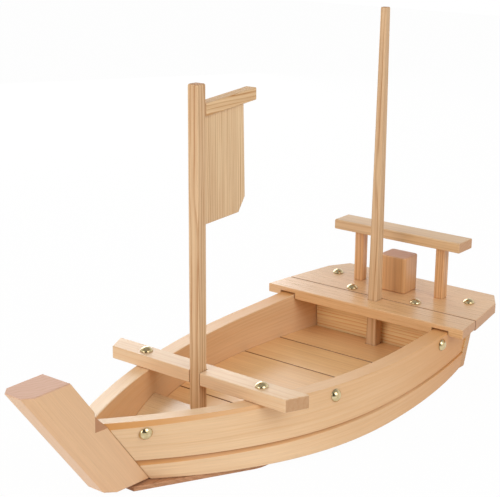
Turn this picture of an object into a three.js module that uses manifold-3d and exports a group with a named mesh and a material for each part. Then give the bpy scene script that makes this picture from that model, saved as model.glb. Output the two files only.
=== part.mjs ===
// A wooden sushi boat: a flat-bottomed serving hull with a raked prow, a thwart, a stern deck with
// a rail, a fore mast that carries a yard and a board sail, and a plain aft mast.
// Millimetres, +X towards the prow, +Y to port, +Z up. The hull frame has x = 0 where the bottom
// edges of the side planks end at the stern, y = 0 on the centre plane and z = 0 on the table.
import * as THREE from 'three';
import { mergeVertices } from 'three/addons/utils/BufferGeometryUtils.js';
import Module from 'manifold-3d';

const wasm = await Module();
wasm.setup();

// Clearances
const seat = 0.3;              // glue line between two pieces that are cut to each other
const mastClearance = 0.4;     // play on each side of a mast in its opening
const centreGap = 0.15;        // half of the joint between the two planks behind the prow post

// Bottom board
const boardThickness = 3.7;
const boardHalfWidth = 60;
const boardNoseHalfWidth = 12;
const boardNose = 16;          // how far the board runs past the planks' bottom edge
const boardTaper = 86;         // length of the narrowing fore end
const boardSternInset = 4;

// Side planks
const bottomLength = 323.6;    // planks' bottom edge, stern to prow post
const sideHeight = 42.85;      // plank height at the lowest point of the top edge
const sheerLowX = 108.7;       // where the top edge is lowest
const sheerRise = 14;          // rise of the top edge over sheerRun
const sheerRun = 258;
const sternRake = 4;           // how far the stern end leans aft over the plank height
const plankThickness = 14.4;   // measured across the boat
const topHalfBeam = 87.6;
const topBeamX = 96.5;
const topSternHalf = 86;
const topFullness = 2;         // power of the curve from the widest place to the prow
const bottomHalfBeam = 94.2;
const bottomBeamX = 119.6;
const bottomSternHalf = 80.5;
const bottomFullness = 2.35;
const lowerBandProud = 1;      // the band below the groove stands out by this much
const grooveHeight = 14.6;     // deepest line of the groove above the planks' bottom edge
const grooveDepth = 2.2;
const grooveLip = 3.4;         // from the deepest line of the groove down to the lower band
const grooveBevel = 0.4;       // from the deepest line up to the upper band
const topEdgeBevel = 1.6;
const plankSteps = 36;

// Prow post
const stemWidth = 26.5;
const stemLength = 38;         // level length, nose to heel
const stemLean = 0.757;        // forward run for each millimetre of height
const stemTop = 100.6;
const stemHeelLift = 0.8;      // underside above the planks' bottom edge, at the heel
const stemToeLift = 3.4;       // the same at the nose
const stemNoseFlat = 14.7;
const stemNoseBevel = 6.8;

// Transom
const transomCover = 7.4;      // outer board, over the ends of the planks
const transomTongue = 5.3;     // inner part, between the planks

// Floor and fore platform
const floorThickness = 7.6;
const floorPastMast = 36.6;    // how far the floor runs ahead of the fore mast
const floorPlankCount = 6;
const floorGap = 0.8;
const platformTop = 26.5;
const platformThickness = 8;
const platformLip = 4.5;       // wood behind the mast hole
const platformLength = 79.1;

// Fore mast, yard and sail
const foreMastSetback = 111.1; // from the fore end of the planks' top edge
const foreMastSide = 9.2;
const foreMastTop = 275.4;
const foreMastProud = 0.1;     // mast face ahead of the thwart's front face
const foreMastEase = 0.9;
const yardLength = 57.6;
const yardRise = 4.6;          // rise of the yard over its length
const yardHeight = 9.2;
const yardWidth = 9.6;
const yardBelowTop = 14.2;
const sailHeight = 79;
const sailTopWidth = 45.9;
const sailFootWidth = 47.9;
const sailFootRise = 1.6;
const sailClipWidth = 7.5;
const sailClipHeight = 11;
const sailThickness = 4;

// Thwart
const thwartWidth = 18.2;
const thwartThickness = 10.2;
const thwartOverhang = 23.5;   // past the planks, at its front edge
const thwartEndSlant = 8.5;    // the rear edge is longer by this much at each end

// Stern deck
const deckThickness = 9.5;
const deckCover = 3.9;         // deck top above the highest plank edge at the stern
const beamWidth = 28;
const deckSeamX = 7.1;
const deckSeamGap = 0.7;
const beamHalfLength = 101.4;
const deckSeamHalf = 98;
const beamEndRelief = 1.4;     // the ends of the beam are thinner by this much
const rearDeckLength = 72.1;
const deckClipX = 20;          // length of the clipped corner along the boat
const deckClipHalf = 89.6;
const deckAftHalf = 78;

// Aft mast
const aftMastFootSide = 9.9;
const aftMastTopSide = 5.9;
const aftMastTop = 310.7;
const aftMastSocket = 3;       // depth of the socket in the floor

// Stern rail and block
const railSetback = 36.5;      // from the deck seam to the middle of the posts
const railPostSide = 9.1;
const railPostHalfSpan = 42.7;
const railPostHeight = 47.4;
const railPostBevel = 1.2;
const railWidth = 23;
const railThickness = 9.1;
const railLength = 131;
const railEase = 1;
const blockSetback = 33.3;     // from the deck seam to the middle of the block
const blockLength = 23;
const blockWidth = 27.6;
const blockHeight = 33.6;
const blockCornerRadius = 3;

// Brass tacks
const tackRadius = 5;
const tackRise = 3.2;
const tackRim = 0.5;
const tackPinRadius = 0.9;
const tackPinLength = 13;
const shortPinLength = 8;
const tackSides = 20;
const prowTackSetback = 27.1;  // from the fore end of the planks' top edge
const prowTackDrop = 10.6;     // below the planks' top edge
const waistTackSetback = 51.2; // from the thwart's rear face
const waistTackDrop = 6.8;
const sternTackAhead = 44.9;   // from the stern end of the planks
const sternTackDrop = 7.2;
const thwartTackInset = 7.2;   // from the planks' outer edge
const deckTackSetback = 9.1;   // front pair, from the seam
const deckTackHalfSpan = 33.6;
const aftTackSetback = 40;     // rear pair, from the seam
const aftTackInset = 21.8;     // rear pair, from the deck's side edge

// Levels and lengths that follow from the sizes above
const plankFoot = boardThickness + seat;
const floorTop = plankFoot + floorThickness;
const stemHalf = stemWidth / 2;

function topEdge(x) {
  return plankFoot + sideHeight + sheerRise * ((x - sheerLowX) / sheerRun) ** 2;
}

// The top edge meets the leaning prow post where both heights agree.
let topLength = bottomLength;
for (let pass = 0; pass < 30; pass += 1) {
  topLength = bottomLength + stemLean * (topEdge(topLength) - plankFoot);
}

// Half breadth of a plank edge: widest at beamX, narrowing to the prow post and to the stern.
function halfBreadth(x, beam, beamX, sternX, sternHalf, prowX, power) {
  if (x > beamX) {
    const ahead = Math.min((x - beamX) / (prowX - beamX), 1);
    return beam - (beam - stemHalf) * ahead ** power;
  }
  return beam - (beam - sternHalf) * ((beamX - x) / (beamX - sternX)) ** 2;
}

function topHalf(x) {
  return halfBreadth(x, topHalfBeam, topBeamX, -sternRake, topSternHalf, topLength, topFullness);
}

function bottomHalf(x) {
  return halfBreadth(x, bottomHalfBeam, bottomBeamX, 0, bottomSternHalf, bottomLength, bottomFullness);
}

// A point of the port hull: along from 0 at the stern to 1 at the prow post, level from 0 at the
// bottom edge to 1 at the top edge, on a straight line between the two edges.
function hullPoint(along, level) {
  const low = new THREE.Vector3(along * bottomLength, 0, plankFoot);
  low.y = bottomHalf(low.x);
  const high = new THREE.Vector3(-sternRake + along * (topLength + sternRake), 0, 0);
  high.y = topHalf(high.x);
  high.z = topEdge(high.x);
  return low.addScaledVector(high.sub(low), level);
}

function hullStation(x, level) {
  const run = (1 - level) * bottomLength + level * (topLength + sternRake);
  return (x + level * sternRake) / run;
}

// Places along the boat
const foreMastX = topLength - foreMastSetback;
const thwartFront = foreMastX + foreMastSide / 2 - foreMastProud;
const thwartRear = thwartFront - thwartWidth;
const thwartUnder = topEdge(thwartFront) + seat;
const thwartTop = thwartUnder + thwartThickness;
const deckTop = topEdge(-sternRake) + deckCover;
const deckUnder = deckTop - deckThickness;
const rearDeckFront = deckSeamX - deckSeamGap;
const deckAft = rearDeckFront - rearDeckLength;
const deckClip = deckAft + deckClipX;

// Half width of the rear deck between its front edge and its clipped corners.
function rearDeckHalf(x) {
  return deckClipHalf + (deckSeamHalf - deckClipHalf) * (x - deckClip) / (rearDeckFront - deckClip);
}

// Solids
function solidOf(geometry) {
  const bare = geometry.index ? geometry.toNonIndexed() : geometry.clone();
  bare.deleteAttribute('normal');
  bare.deleteAttribute('uv');
  const merged = mergeVertices(bare, 1e-4);
  const vertProperties = new Float32Array(merged.attributes.position.array);
  const triVerts = new Uint32Array(merged.index.array);
  return new wasm.Manifold(new wasm.Mesh({ numProp: 3, vertProperties, triVerts }));
}

function geometryOf(solid) {
  const { vertProperties, triVerts } = solid.getMesh();
  const geometry = new THREE.BufferGeometry();
  geometry.setAttribute('position', new THREE.BufferAttribute(new Float32Array(vertProperties), 3));
  geometry.setIndex(new THREE.BufferAttribute(new Uint32Array(triVerts), 1));
  geometry.computeVertexNormals();
  return geometry;
}

function outline(points) {
  return new THREE.Shape(points.map(([a, b]) => new THREE.Vector2(a, b)));
}

// A board drawn in plan and given a thickness upwards from z.
function planBoard(points, z, thickness) {
  const geometry = new THREE.ExtrudeGeometry(outline(points), { depth: thickness, bevelEnabled: false });
  return geometry.translate(0, 0, z);
}

// A board drawn from the side, x along and z up, and given a width across the centre plane.
function sideBoard(points, width) {
  const geometry = new THREE.ExtrudeGeometry(outline(points), { depth: width, bevelEnabled: false });
  return geometry.rotateX(Math.PI / 2).translate(0, width / 2, 0);
}

// A board drawn from astern, y across and z up, from x to x + length.
function crossBoard(points, x, length) {
  const geometry = new THREE.ExtrudeGeometry(outline(points), { depth: length, bevelEnabled: false });
  return geometry.rotateX(Math.PI / 2).rotateZ(Math.PI / 2).translate(x, 0, 0);
}

function block(fromX, toX, fromY, toY, fromZ, toZ) {
  const geometry = new THREE.BoxGeometry(toX - fromX, toY - fromY, toZ - fromZ);
  return geometry.translate((fromX + toX) / 2, (fromY + toY) / 2, (fromZ + toZ) / 2);
}

// Carries each point (a, b, c) of an extruded profile to place(a, b, c).
function carried(profile, steps, place) {
  const geometry = new THREE.ExtrudeGeometry(profile, { depth: 1, steps, bevelEnabled: false });
  const position = geometry.attributes.position;
  for (let i = 0; i < position.count; i += 1) {
    const point = place(position.getX(i), position.getY(i), position.getZ(i));
    position.setXYZ(i, point.x, point.y, point.z);
  }
  return geometry;
}

// The same solid on the other side of the centre plane, with its triangles turned to face out.
function mirrored(solid) {
  const geometry = geometryOf(solid).scale(1, -1, 1);
  const index = geometry.index;
  for (let i = 0; i < index.count; i += 3) {
    const first = index.getX(i);
    index.setX(i, index.getX(i + 1));
    index.setX(i + 1, first);
  }
  return solidOf(geometry);
}

// A plank-shaped solid for a profile of offsets outwards and heights above the bottom edge, as
// they are where the top edge is lowest. No point comes nearer to the centre plane than least.
function plankSolid(points, fromAlong, toAlong, least) {
  return solidOf(carried(outline(points), plankSteps, (offset, height, c) => {
    const along = fromAlong + c * (toAlong - fromAlong);
    const point = hullPoint(along, height / sideHeight);
    point.y = Math.max(point.y + offset, least);
    return point;
  }));
}

// All that lies outside the space between the planks, held in from them by the glue line.
function outsideSolid() {
  const inner = -plankThickness - seat;
  const outer = bottomHalfBeam;
  const low = -floorThickness;
  const high = sideHeight + floorThickness;
  const port = plankSolid([
    [inner, 0],
    [inner, low],
    [outer, low],
    [outer, high],
    [inner, high],
    [inner, sideHeight],
  ], 0, 1 - seat / topLength, -plankThickness);
  return port.add(mirrored(port));
}

const outside = outsideSolid();

// Tacks: a domed head with a pin, made once along +Z with the underside of the head at z = 0.
function tackGeometry(pinLength) {
  const dome = new THREE.Path();
  dome.moveTo(0, -pinLength);
  dome.lineTo(tackPinRadius, -pinLength + tackPinRadius);
  dome.lineTo(tackPinRadius, 0);
  dome.lineTo(tackRadius, 0);
  dome.lineTo(tackRadius, tackRim);
  dome.absellipse(0, tackRim, tackRadius, tackRise - tackRim, 0, Math.PI / 2, false);
  return new THREE.LatheGeometry(dome.getPoints(6), tackSides).rotateX(Math.PI / 2);
}

function tackPlace(point, direction) {
  const turn = new THREE.Quaternion().setFromUnitVectors(new THREE.Vector3(0, 0, 1), direction);
  return new THREE.Matrix4().compose(point.clone(), turn, new THREE.Vector3(1, 1, 1));
}

function pinHole(place, pinLength) {
  const deep = pinLength + 2 * seat;
  const hole = new THREE.CylinderGeometry(tackPinRadius + seat, tackPinRadius + seat, 2 * deep, 10);
  return solidOf(hole.rotateX(Math.PI / 2).applyMatrix4(place));
}

function hullNormal(along, level) {
  const step = 0.01;
  const forward = hullPoint(along + step, level).sub(hullPoint(along - step, level));
  const upward = hullPoint(along, level + step).sub(hullPoint(along, level - step));
  return upward.cross(forward).normalize();
}

// Each tack has a name, a place and the length of its pin.
const up = new THREE.Vector3(0, 0, 1);
const sides = [['port', 1], ['starboard', -1]];
const tacks = [];
const hullTacks = [
  { x: topLength - prowTackSetback, drop: prowTackDrop },
  { x: thwartRear - waistTackSetback, drop: waistTackDrop },
  { x: sternTackAhead, drop: sternTackDrop },
];
hullTacks.forEach(({ x, drop }, i) => {
  const level = 1 - drop / (topEdge(x) - plankFoot);
  const along = hullStation(x, level);
  const point = hullPoint(along, level);
  const normal = hullNormal(along, level);
  point.addScaledVector(normal, seat);
  for (const [side, sign] of sides) {
    const flip = new THREE.Vector3(1, sign, 1);
    const place = tackPlace(point.clone().multiply(flip), normal.clone().multiply(flip));
    tacks.push({ name: `hull_tack_${side}_${i + 1}`, place, pin: tackPinLength });
  }
});

const thwartX = (thwartFront + thwartRear) / 2;
const aftTackX = deckSeamX - aftTackSetback;
const thwartTackY = topHalf(thwartX) - thwartTackInset;
const deckTackX = deckSeamX - deckTackSetback;
const aftTackY = rearDeckHalf(aftTackX) - aftTackInset;
const uprightTacks = [
  { name: 'thwart_tack', x: thwartX, y: thwartTackY, z: thwartTop, pin: tackPinLength },
  { name: 'deck_tack_fore', x: deckTackX, y: deckTackHalfSpan, z: deckTop, pin: tackPinLength },
  { name: 'deck_tack_aft', x: aftTackX, y: aftTackY, z: deckTop, pin: shortPinLength },
];
for (const { name, x, y, z, pin } of uprightTacks) {
  for (const [side, sign] of sides) {
    const point = new THREE.Vector3(x, sign * y, z + seat);
    tacks.push({ name: `${name}_${side}`, place: tackPlace(point, up), pin });
  }
}

function drilled(solid) {
  return tacks.reduce((wood, { place, pin }) => wood.subtract(pinHole(place, pin)), solid);
}

// Side planks, each one board with a groove cut along its outer face. The profile can be grown.
function plankProfile(grown) {
  const inner = -plankThickness - grown;
  const top = sideHeight + grown;
  return [
    [inner, 0],
    [lowerBandProud + grown, 0],
    [lowerBandProud + grown, grooveHeight - grooveLip],
    [grown - grooveDepth, grooveHeight],
    [grown, grooveHeight + grooveBevel],
    [grown, top - topEdgeBevel],
    [grown - topEdgeBevel, top],
    [inner, top],
  ];
}

function sidePlank() {
  return plankSolid(plankProfile(0), 0, 1 - seat / topLength, centreGap);
}

// The planks grown by the glue line, to cut their seats in the deck.
function plankSeat() {
  const port = plankSolid(plankProfile(seat), -seat / bottomLength, 1, centreGap);
  return port.add(mirrored(port));
}

function stemPost() {
  const nose = stemNoseFlat / 2;
  const shape = outline([
    [0, -stemHalf],
    [stemLength - stemNoseBevel, -stemHalf],
    [stemLength, -nose],
    [stemLength, nose],
    [stemLength - stemNoseBevel, stemHalf],
    [0, stemHalf],
  ]);
  return solidOf(carried(shape, 1, (a, b, c) => {
    const lift = stemHeelLift + (stemToeLift - stemHeelLift) * (a / stemLength);
    const z = c > 0.5 ? stemTop : plankFoot + lift;
    return new THREE.Vector3(bottomLength + stemLean * (z - plankFoot) + a, b, z);
  }));
}

function bottomBoard() {
  const nose = bottomLength + boardNose;
  const shoulder = nose - boardTaper;
  const stern = boardSternInset;
  return solidOf(planBoard([
    [stern, -boardHalfWidth],
    [shoulder, -boardHalfWidth],
    [nose, -boardNoseHalfWidth],
    [nose, boardNoseHalfWidth],
    [shoulder, boardHalfWidth],
    [stern, boardHalfWidth],
  ], 0, boardThickness));
}

function transom() {
  const sternHeight = topEdge(-sternRake) - plankFoot;
  const lean = sternRake / sternHeight;
  const levels = [0, grooveHeight / sideHeight, (deckUnder - plankFoot) / sternHeight];
  function board(offset, fromX, length) {
    const port = levels.map((level) => {
      const point = hullPoint(0, level);
      return [point.y + offset, point.z];
    });
    const starboard = port.map(([y, z]) => [-y, z]).reverse();
    const geometry = crossBoard([...port, ...starboard], fromX, length);
    const rake = new THREE.Matrix4().makeTranslation(lean * plankFoot, 0, 0);
    const shear = new THREE.Matrix4().set(1, 0, -lean, 0, 0, 1, 0, 0, 0, 0, 1, 0, 0, 0, 0, 1);
    return solidOf(geometry.applyMatrix4(shear).applyMatrix4(rake));
  }
  const cover = board(lowerBandProud, -seat - transomCover, transomCover);
  const root = seat + transomCover / 2;
  const tongue = board(-plankThickness - seat, -root, root + transomTongue);
  return cover.add(tongue);
}

const aftMastSideAt = (z) => {
  const foot = floorTop - aftMastSocket + seat;
  return aftMastFootSide + (aftMastTopSide - aftMastFootSide) * (z - foot) / (aftMastTop - foot);
};
const aftMastX = deckSeamX + mastClearance + aftMastSideAt(deckTop) / 2;

function floorPlank(i) {
  const aft = transomTongue + seat;
  const pitch = (foreMastX + floorPastMast - aft) / floorPlankCount;
  const start = aft + i * pitch;
  const end = start + pitch - floorGap;
  const plank = solidOf(block(start, end, -bottomHalfBeam, bottomHalfBeam, plankFoot, floorTop));
  const half = aftMastFootSide / 2 + mastClearance;
  const low = floorTop - aftMastSocket;
  const socket = solidOf(block(aftMastX - half, aftMastX + half, -half, half, low, deckUnder));
  return plank.subtract(outside).subtract(socket);
}

function bowPlatform() {
  const hole = foreMastSide / 2 + mastClearance;
  const aft = foreMastX - hole - platformLip;
  const top = platformTop;
  const under = top - platformThickness;
  const board = solidOf(block(aft, aft + platformLength, -topHalfBeam, topHalfBeam, under, top));
  const opening = solidOf(block(foreMastX - hole, foreMastX + hole, -hole, hole, under - seat, top + seat));
  return board.subtract(outside).subtract(opening);
}

function thwart() {
  const front = topHalf(thwartFront) + thwartOverhang;
  const rear = front + thwartEndSlant;
  const notch = foreMastSide / 2 + mastClearance;
  const deep = foreMastX - notch;
  return solidOf(planBoard([
    [thwartRear, -rear],
    [thwartFront, -front],
    [thwartFront, -notch],
    [deep, -notch],
    [deep, notch],
    [thwartFront, notch],
    [thwartFront, front],
    [thwartRear, rear],
  ], thwartUnder, thwartThickness));
}

const planksSeat = plankSeat();

function deckBeam() {
  const front = deckSeamX + beamWidth;
  const half = aftMastSideAt(deckUnder) / 2 + mastClearance;
  const plan = solidOf(planBoard([
    [deckSeamX, -deckSeamHalf],
    [front, -beamHalfLength],
    [front, beamHalfLength],
    [deckSeamX, deckSeamHalf],
    [deckSeamX, half],
    [aftMastX + half, half],
    [aftMastX + half, -half],
    [deckSeamX, -half],
  ], deckUnder, deckThickness));
  const step = topHalfBeam - plankThickness / 2;
  const thin = deckUnder + beamEndRelief;
  const under = solidOf(block(deckSeamX - 1, front + 1, step, 2 * topHalfBeam, deckUnder - 1, thin));
  return plan.subtract(under).subtract(mirrored(under)).subtract(planksSeat);
}

function rearDeck() {
  const plan = solidOf(planBoard([
    [deckAft, -deckAftHalf],
    [deckClip, -deckClipHalf],
    [rearDeckFront, -deckSeamHalf],
    [rearDeckFront, deckSeamHalf],
    [deckClip, deckClipHalf],
    [deckAft, deckAftHalf],
  ], deckUnder, deckThickness));
  return plan.subtract(planksSeat);
}

function railPost(sign) {
  const half = railPostSide / 2;
  const inner = half - railPostBevel;
  const shape = [[-half, -inner], [-inner, -half], [inner, -half], [half, -inner],
    [half, inner], [inner, half], [-inner, half], [-half, inner]];
  const geometry = planBoard(shape, deckTop, railPostHeight);
  return solidOf(geometry.translate(deckSeamX - railSetback, sign * railPostHalfSpan, 0));
}

function sternRail() {
  const x = deckSeamX - railSetback;
  const low = deckTop + railPostHeight;
  const high = low + railThickness;
  const near = x + railWidth / 2;
  const far = x - railWidth / 2;
  return solidOf(sideBoard([
    [far + railEase, low],
    [near - railEase, low],
    [near, low + railEase],
    [near, high - railEase],
    [near - railEase, high],
    [far + railEase, high],
    [far, high - railEase],
    [far, low + railEase],
  ], railLength));
}

function deckBlock() {
  const a = blockLength / 2;
  const b = blockWidth / 2;
  const r = blockCornerRadius;
  const shape = new THREE.Shape();
  shape.moveTo(-a + r, -b);
  shape.lineTo(a - r, -b);
  shape.absarc(a - r, -b + r, r, -Math.PI / 2, 0, false);
  shape.absarc(a - r, b - r, r, 0, Math.PI / 2, false);
  shape.absarc(-a + r, b - r, r, Math.PI / 2, Math.PI, false);
  shape.absarc(-a + r, -b + r, r, Math.PI, 3 * Math.PI / 2, false);
  const upright = { depth: blockHeight, bevelEnabled: false, curveSegments: 4 };
  const geometry = new THREE.ExtrudeGeometry(shape, upright);
  return solidOf(geometry.translate(deckSeamX - blockSetback, 0, deckTop));
}

// A square stick that tapers evenly, with its top edges eased by a small bevel.
function mast(x, foot, top, footSide, topSide, ease) {
  const levels = [[foot, footSide], [top - ease, topSide], [top, topSide - 2 * ease]];
  const profile = outline([[-0.5, -0.5], [0.5, -0.5], [0.5, 0.5], [-0.5, 0.5]]);
  return solidOf(carried(profile, levels.length - 1, (a, b, c) => {
    const [z, side] = levels[Math.round(c * (levels.length - 1))];
    return new THREE.Vector3(x + a * side, b * side, z);
  }));
}

const foreMastFoot = floorTop + seat;
const sailRoot = foreMastX - foreMastSide / 2;
const yardTop = foreMastTop - yardBelowTop;

function sailYard() {
  const fore = sailRoot;
  const aft = sailRoot - yardLength;
  return solidOf(sideBoard([
    [aft, yardTop + yardRise - yardHeight],
    [fore, yardTop - yardHeight],
    [fore, yardTop],
    [aft, yardTop + yardRise],
  ], yardWidth));
}

function sailBoard() {
  const slope = yardRise / yardLength;
  const head = yardTop - yardHeight - seat;
  const foot = head - sailHeight;
  return solidOf(sideBoard([
    [sailRoot, foot],
    [sailRoot, head],
    [sailRoot - sailTopWidth, head + slope * sailTopWidth],
    [sailRoot - sailFootWidth, foot + sailFootRise + sailClipHeight],
    [sailRoot - sailFootWidth + sailClipWidth, foot + sailFootRise],
  ], sailThickness));
}

// Finishes
const paleFir = { color: 0xe3c09a, roughness: 0.62, metalness: 0 };
const warmFir = { color: 0xd6a774, roughness: 0.64, metalness: 0 };
const mastFir = { color: 0xd3a56c, roughness: 0.62, metalness: 0 };
const brass = { color: 0xc79a4b, roughness: 0.2, metalness: 1 };

const boat = new THREE.Group();
boat.name = 'sushi_boat';

function piece(name, geometry, finish, parent) {
  const mesh = new THREE.Mesh(geometry, new THREE.MeshStandardMaterial(finish));
  mesh.name = name;
  parent.add(mesh);
  return mesh;
}

const hull = new THREE.Group();
const foreRig = new THREE.Group();
const aftRig = new THREE.Group();
boat.add(hull, foreRig, aftRig);

const portPlank = sidePlank();
piece('stem_post', geometryOf(stemPost()), paleFir, hull);
piece('port_side_plank', geometryOf(drilled(portPlank)), paleFir, hull);
piece('starboard_side_plank', geometryOf(drilled(mirrored(portPlank))), paleFir, hull);
piece('bottom_board', geometryOf(bottomBoard()), warmFir, hull);
for (let i = 0; i < floorPlankCount; i += 1) {
  piece(`floor_plank_${i + 1}`, geometryOf(floorPlank(i)), warmFir, hull);
}
piece('bow_platform', geometryOf(bowPlatform()), paleFir, hull);
piece('transom', geometryOf(drilled(transom())), warmFir, hull);
piece('thwart', geometryOf(drilled(thwart())), paleFir, hull);
piece('deck_beam', geometryOf(deckBeam()), paleFir, hull);
piece('rear_deck', geometryOf(drilled(rearDeck())), paleFir, hull);
piece('rail_post_port', geometryOf(railPost(1)), mastFir, hull);
piece('rail_post_starboard', geometryOf(railPost(-1)), mastFir, hull);
piece('stern_rail', geometryOf(sternRail()), paleFir, hull);
piece('deck_block', geometryOf(deckBlock()), warmFir, hull);
for (const { name, place, pin } of tacks) {
  piece(name, tackGeometry(pin).applyMatrix4(place), brass, hull);
}

const foreMast = mast(foreMastX, foreMastFoot, foreMastTop, foreMastSide, foreMastSide, foreMastEase);
piece('front_mast', geometryOf(foreMast), mastFir, foreRig);
piece('sail_yard', geometryOf(sailYard()), mastFir, foreRig);
piece('sail_board', geometryOf(sailBoard()), mastFir, foreRig);

const aftMastFoot = floorTop - aftMastSocket + seat;
const aftMast = mast(aftMastX, aftMastFoot, aftMastTop, aftMastFootSide, aftMastTopSide, foreMastEase / 2);
piece('rear_mast', geometryOf(aftMast), mastFir, aftRig);

// The part's origin is under the middle of the whole length, on the table.
const prowTip = bottomLength + stemLean * (stemTop - plankFoot) + stemLength;
boat.position.x = -(prowTip + deckAft) / 2;
boat.updateMatrixWorld(true);

export default boat;
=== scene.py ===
"""A sushi boat of bare fir: planks, boards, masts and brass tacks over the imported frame.

Sizes are in millimetres in the boat's frame, +X to the prow, +Y to port and +Z up, and become
metres when a mesh is made.
"""

from __future__ import annotations

import logging
from collections.abc import Callable, Sequence
from dataclasses import dataclass, field, replace
from enum import Enum

import bpy
import numpy as np
from mathutils import Matrix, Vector
from mathutils.geometry import tessellate_polygon

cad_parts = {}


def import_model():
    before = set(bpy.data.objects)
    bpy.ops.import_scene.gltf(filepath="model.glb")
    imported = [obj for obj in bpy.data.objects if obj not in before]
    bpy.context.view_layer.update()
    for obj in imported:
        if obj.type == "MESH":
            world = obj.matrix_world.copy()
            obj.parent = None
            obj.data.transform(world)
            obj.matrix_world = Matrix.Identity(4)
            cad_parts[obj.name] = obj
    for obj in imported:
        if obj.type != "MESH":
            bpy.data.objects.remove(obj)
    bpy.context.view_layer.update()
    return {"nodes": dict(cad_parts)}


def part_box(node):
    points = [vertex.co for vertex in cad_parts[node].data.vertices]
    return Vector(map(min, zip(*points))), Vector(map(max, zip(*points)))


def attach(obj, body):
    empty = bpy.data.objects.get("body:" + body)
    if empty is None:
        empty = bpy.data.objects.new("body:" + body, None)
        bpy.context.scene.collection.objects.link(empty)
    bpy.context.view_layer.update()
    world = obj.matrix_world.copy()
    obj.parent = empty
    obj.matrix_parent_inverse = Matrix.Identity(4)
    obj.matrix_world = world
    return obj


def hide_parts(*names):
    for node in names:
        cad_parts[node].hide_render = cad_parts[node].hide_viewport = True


LOG = logging.getLogger("sushi_boat")
MM = 0.001
ARC_STEPS = 4  # lines in a rounded corner
ROUND_STEPS = 3  # lines in a quarter round
SHARP_EDGE_DEG = 40.0  # a steeper edge than this stays sharp
FLAT_WEIGHT = 100  # the most that large faces can decide the shading of the edges beside them
END_FADE = 0.3  # power by which end grain fades over an eased edge
Array = np.ndarray
Pair = tuple[float, float]
Triple = tuple[float, float, float]
Face = tuple[int, ...]


class Grain(Enum):
    """The axis that a board's grain runs along."""

    X = 0
    Y = 1
    Z = 2


class Lay(Enum):
    """How a drawn outline (a, b) and its thickness c lie in the boat's frame."""

    PLAN = ((1, 0, 0), (0, 1, 0), (0, 0, 1))
    SIDE = ((1, 0, 0), (0, 0, -1), (0, 1, 0))
    CROSS = ((0, 0, 1), (1, 0, 0), (0, 1, 0))


class Side(Enum):
    """The two sides of the boat, with the sign of Y."""

    PORT = 1
    STARBOARD = -1

    @property
    def word(self) -> str:
        """The side's name as the nodes spell it."""
        return self.name.lower()


class Corner(Enum):
    """The corners of a side plank's section, in the order in which they are drawn."""

    INNER_FOOT = 0
    OUTER_FOOT = 1
    BAND_TOP = 2
    GROOVE = 3
    LEDGE = 4
    BEVEL_FOOT = 5
    BEVEL_TOP = 6
    INNER_TOP = 7


def linear(hex_colour: str) -> tuple[float, float, float, float]:
    """Turns an sRGB hex colour to the linear colour that shaders take.

    Args:
        hex_colour: Six hex digits.

    Returns:
        Linear red, green, blue and an alpha of 1.
    """
    srgb = np.array([int(hex_colour[i:i + 2], 16) for i in (0, 2, 4)]) / 255
    low = srgb / 12.92
    high = ((srgb + 0.055) / 1.055) ** 2.4
    red, green, blue = np.where(srgb <= 0.04045, low, high)
    return float(red), float(green), float(blue), 1.0


def add_node(tree: bpy.types.NodeTree, kind: str, links: dict[int | str, object] | None = None,
             out: int | str = 0, **settings: object) -> bpy.types.NodeSocket:
    """Adds a node, sets it up and links its inputs.

    Args:
        tree: The node tree.
        kind: Blender's name for the node type.
        links: Input name or number to an output socket or to a value.
        out: Name or number of the output that is wanted.
        **settings: Properties of the node itself.

    Returns:
        That output of the new node.
    """
    node = tree.nodes.new(kind)
    for key, value in settings.items():
        setattr(node, key, value)
    for key, value in (links or {}).items():
        if isinstance(value, bpy.types.NodeSocket):
            tree.links.new(value, node.inputs[key])
        else:
            node.inputs[key].default_value = value
    return node.outputs[out]


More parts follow.
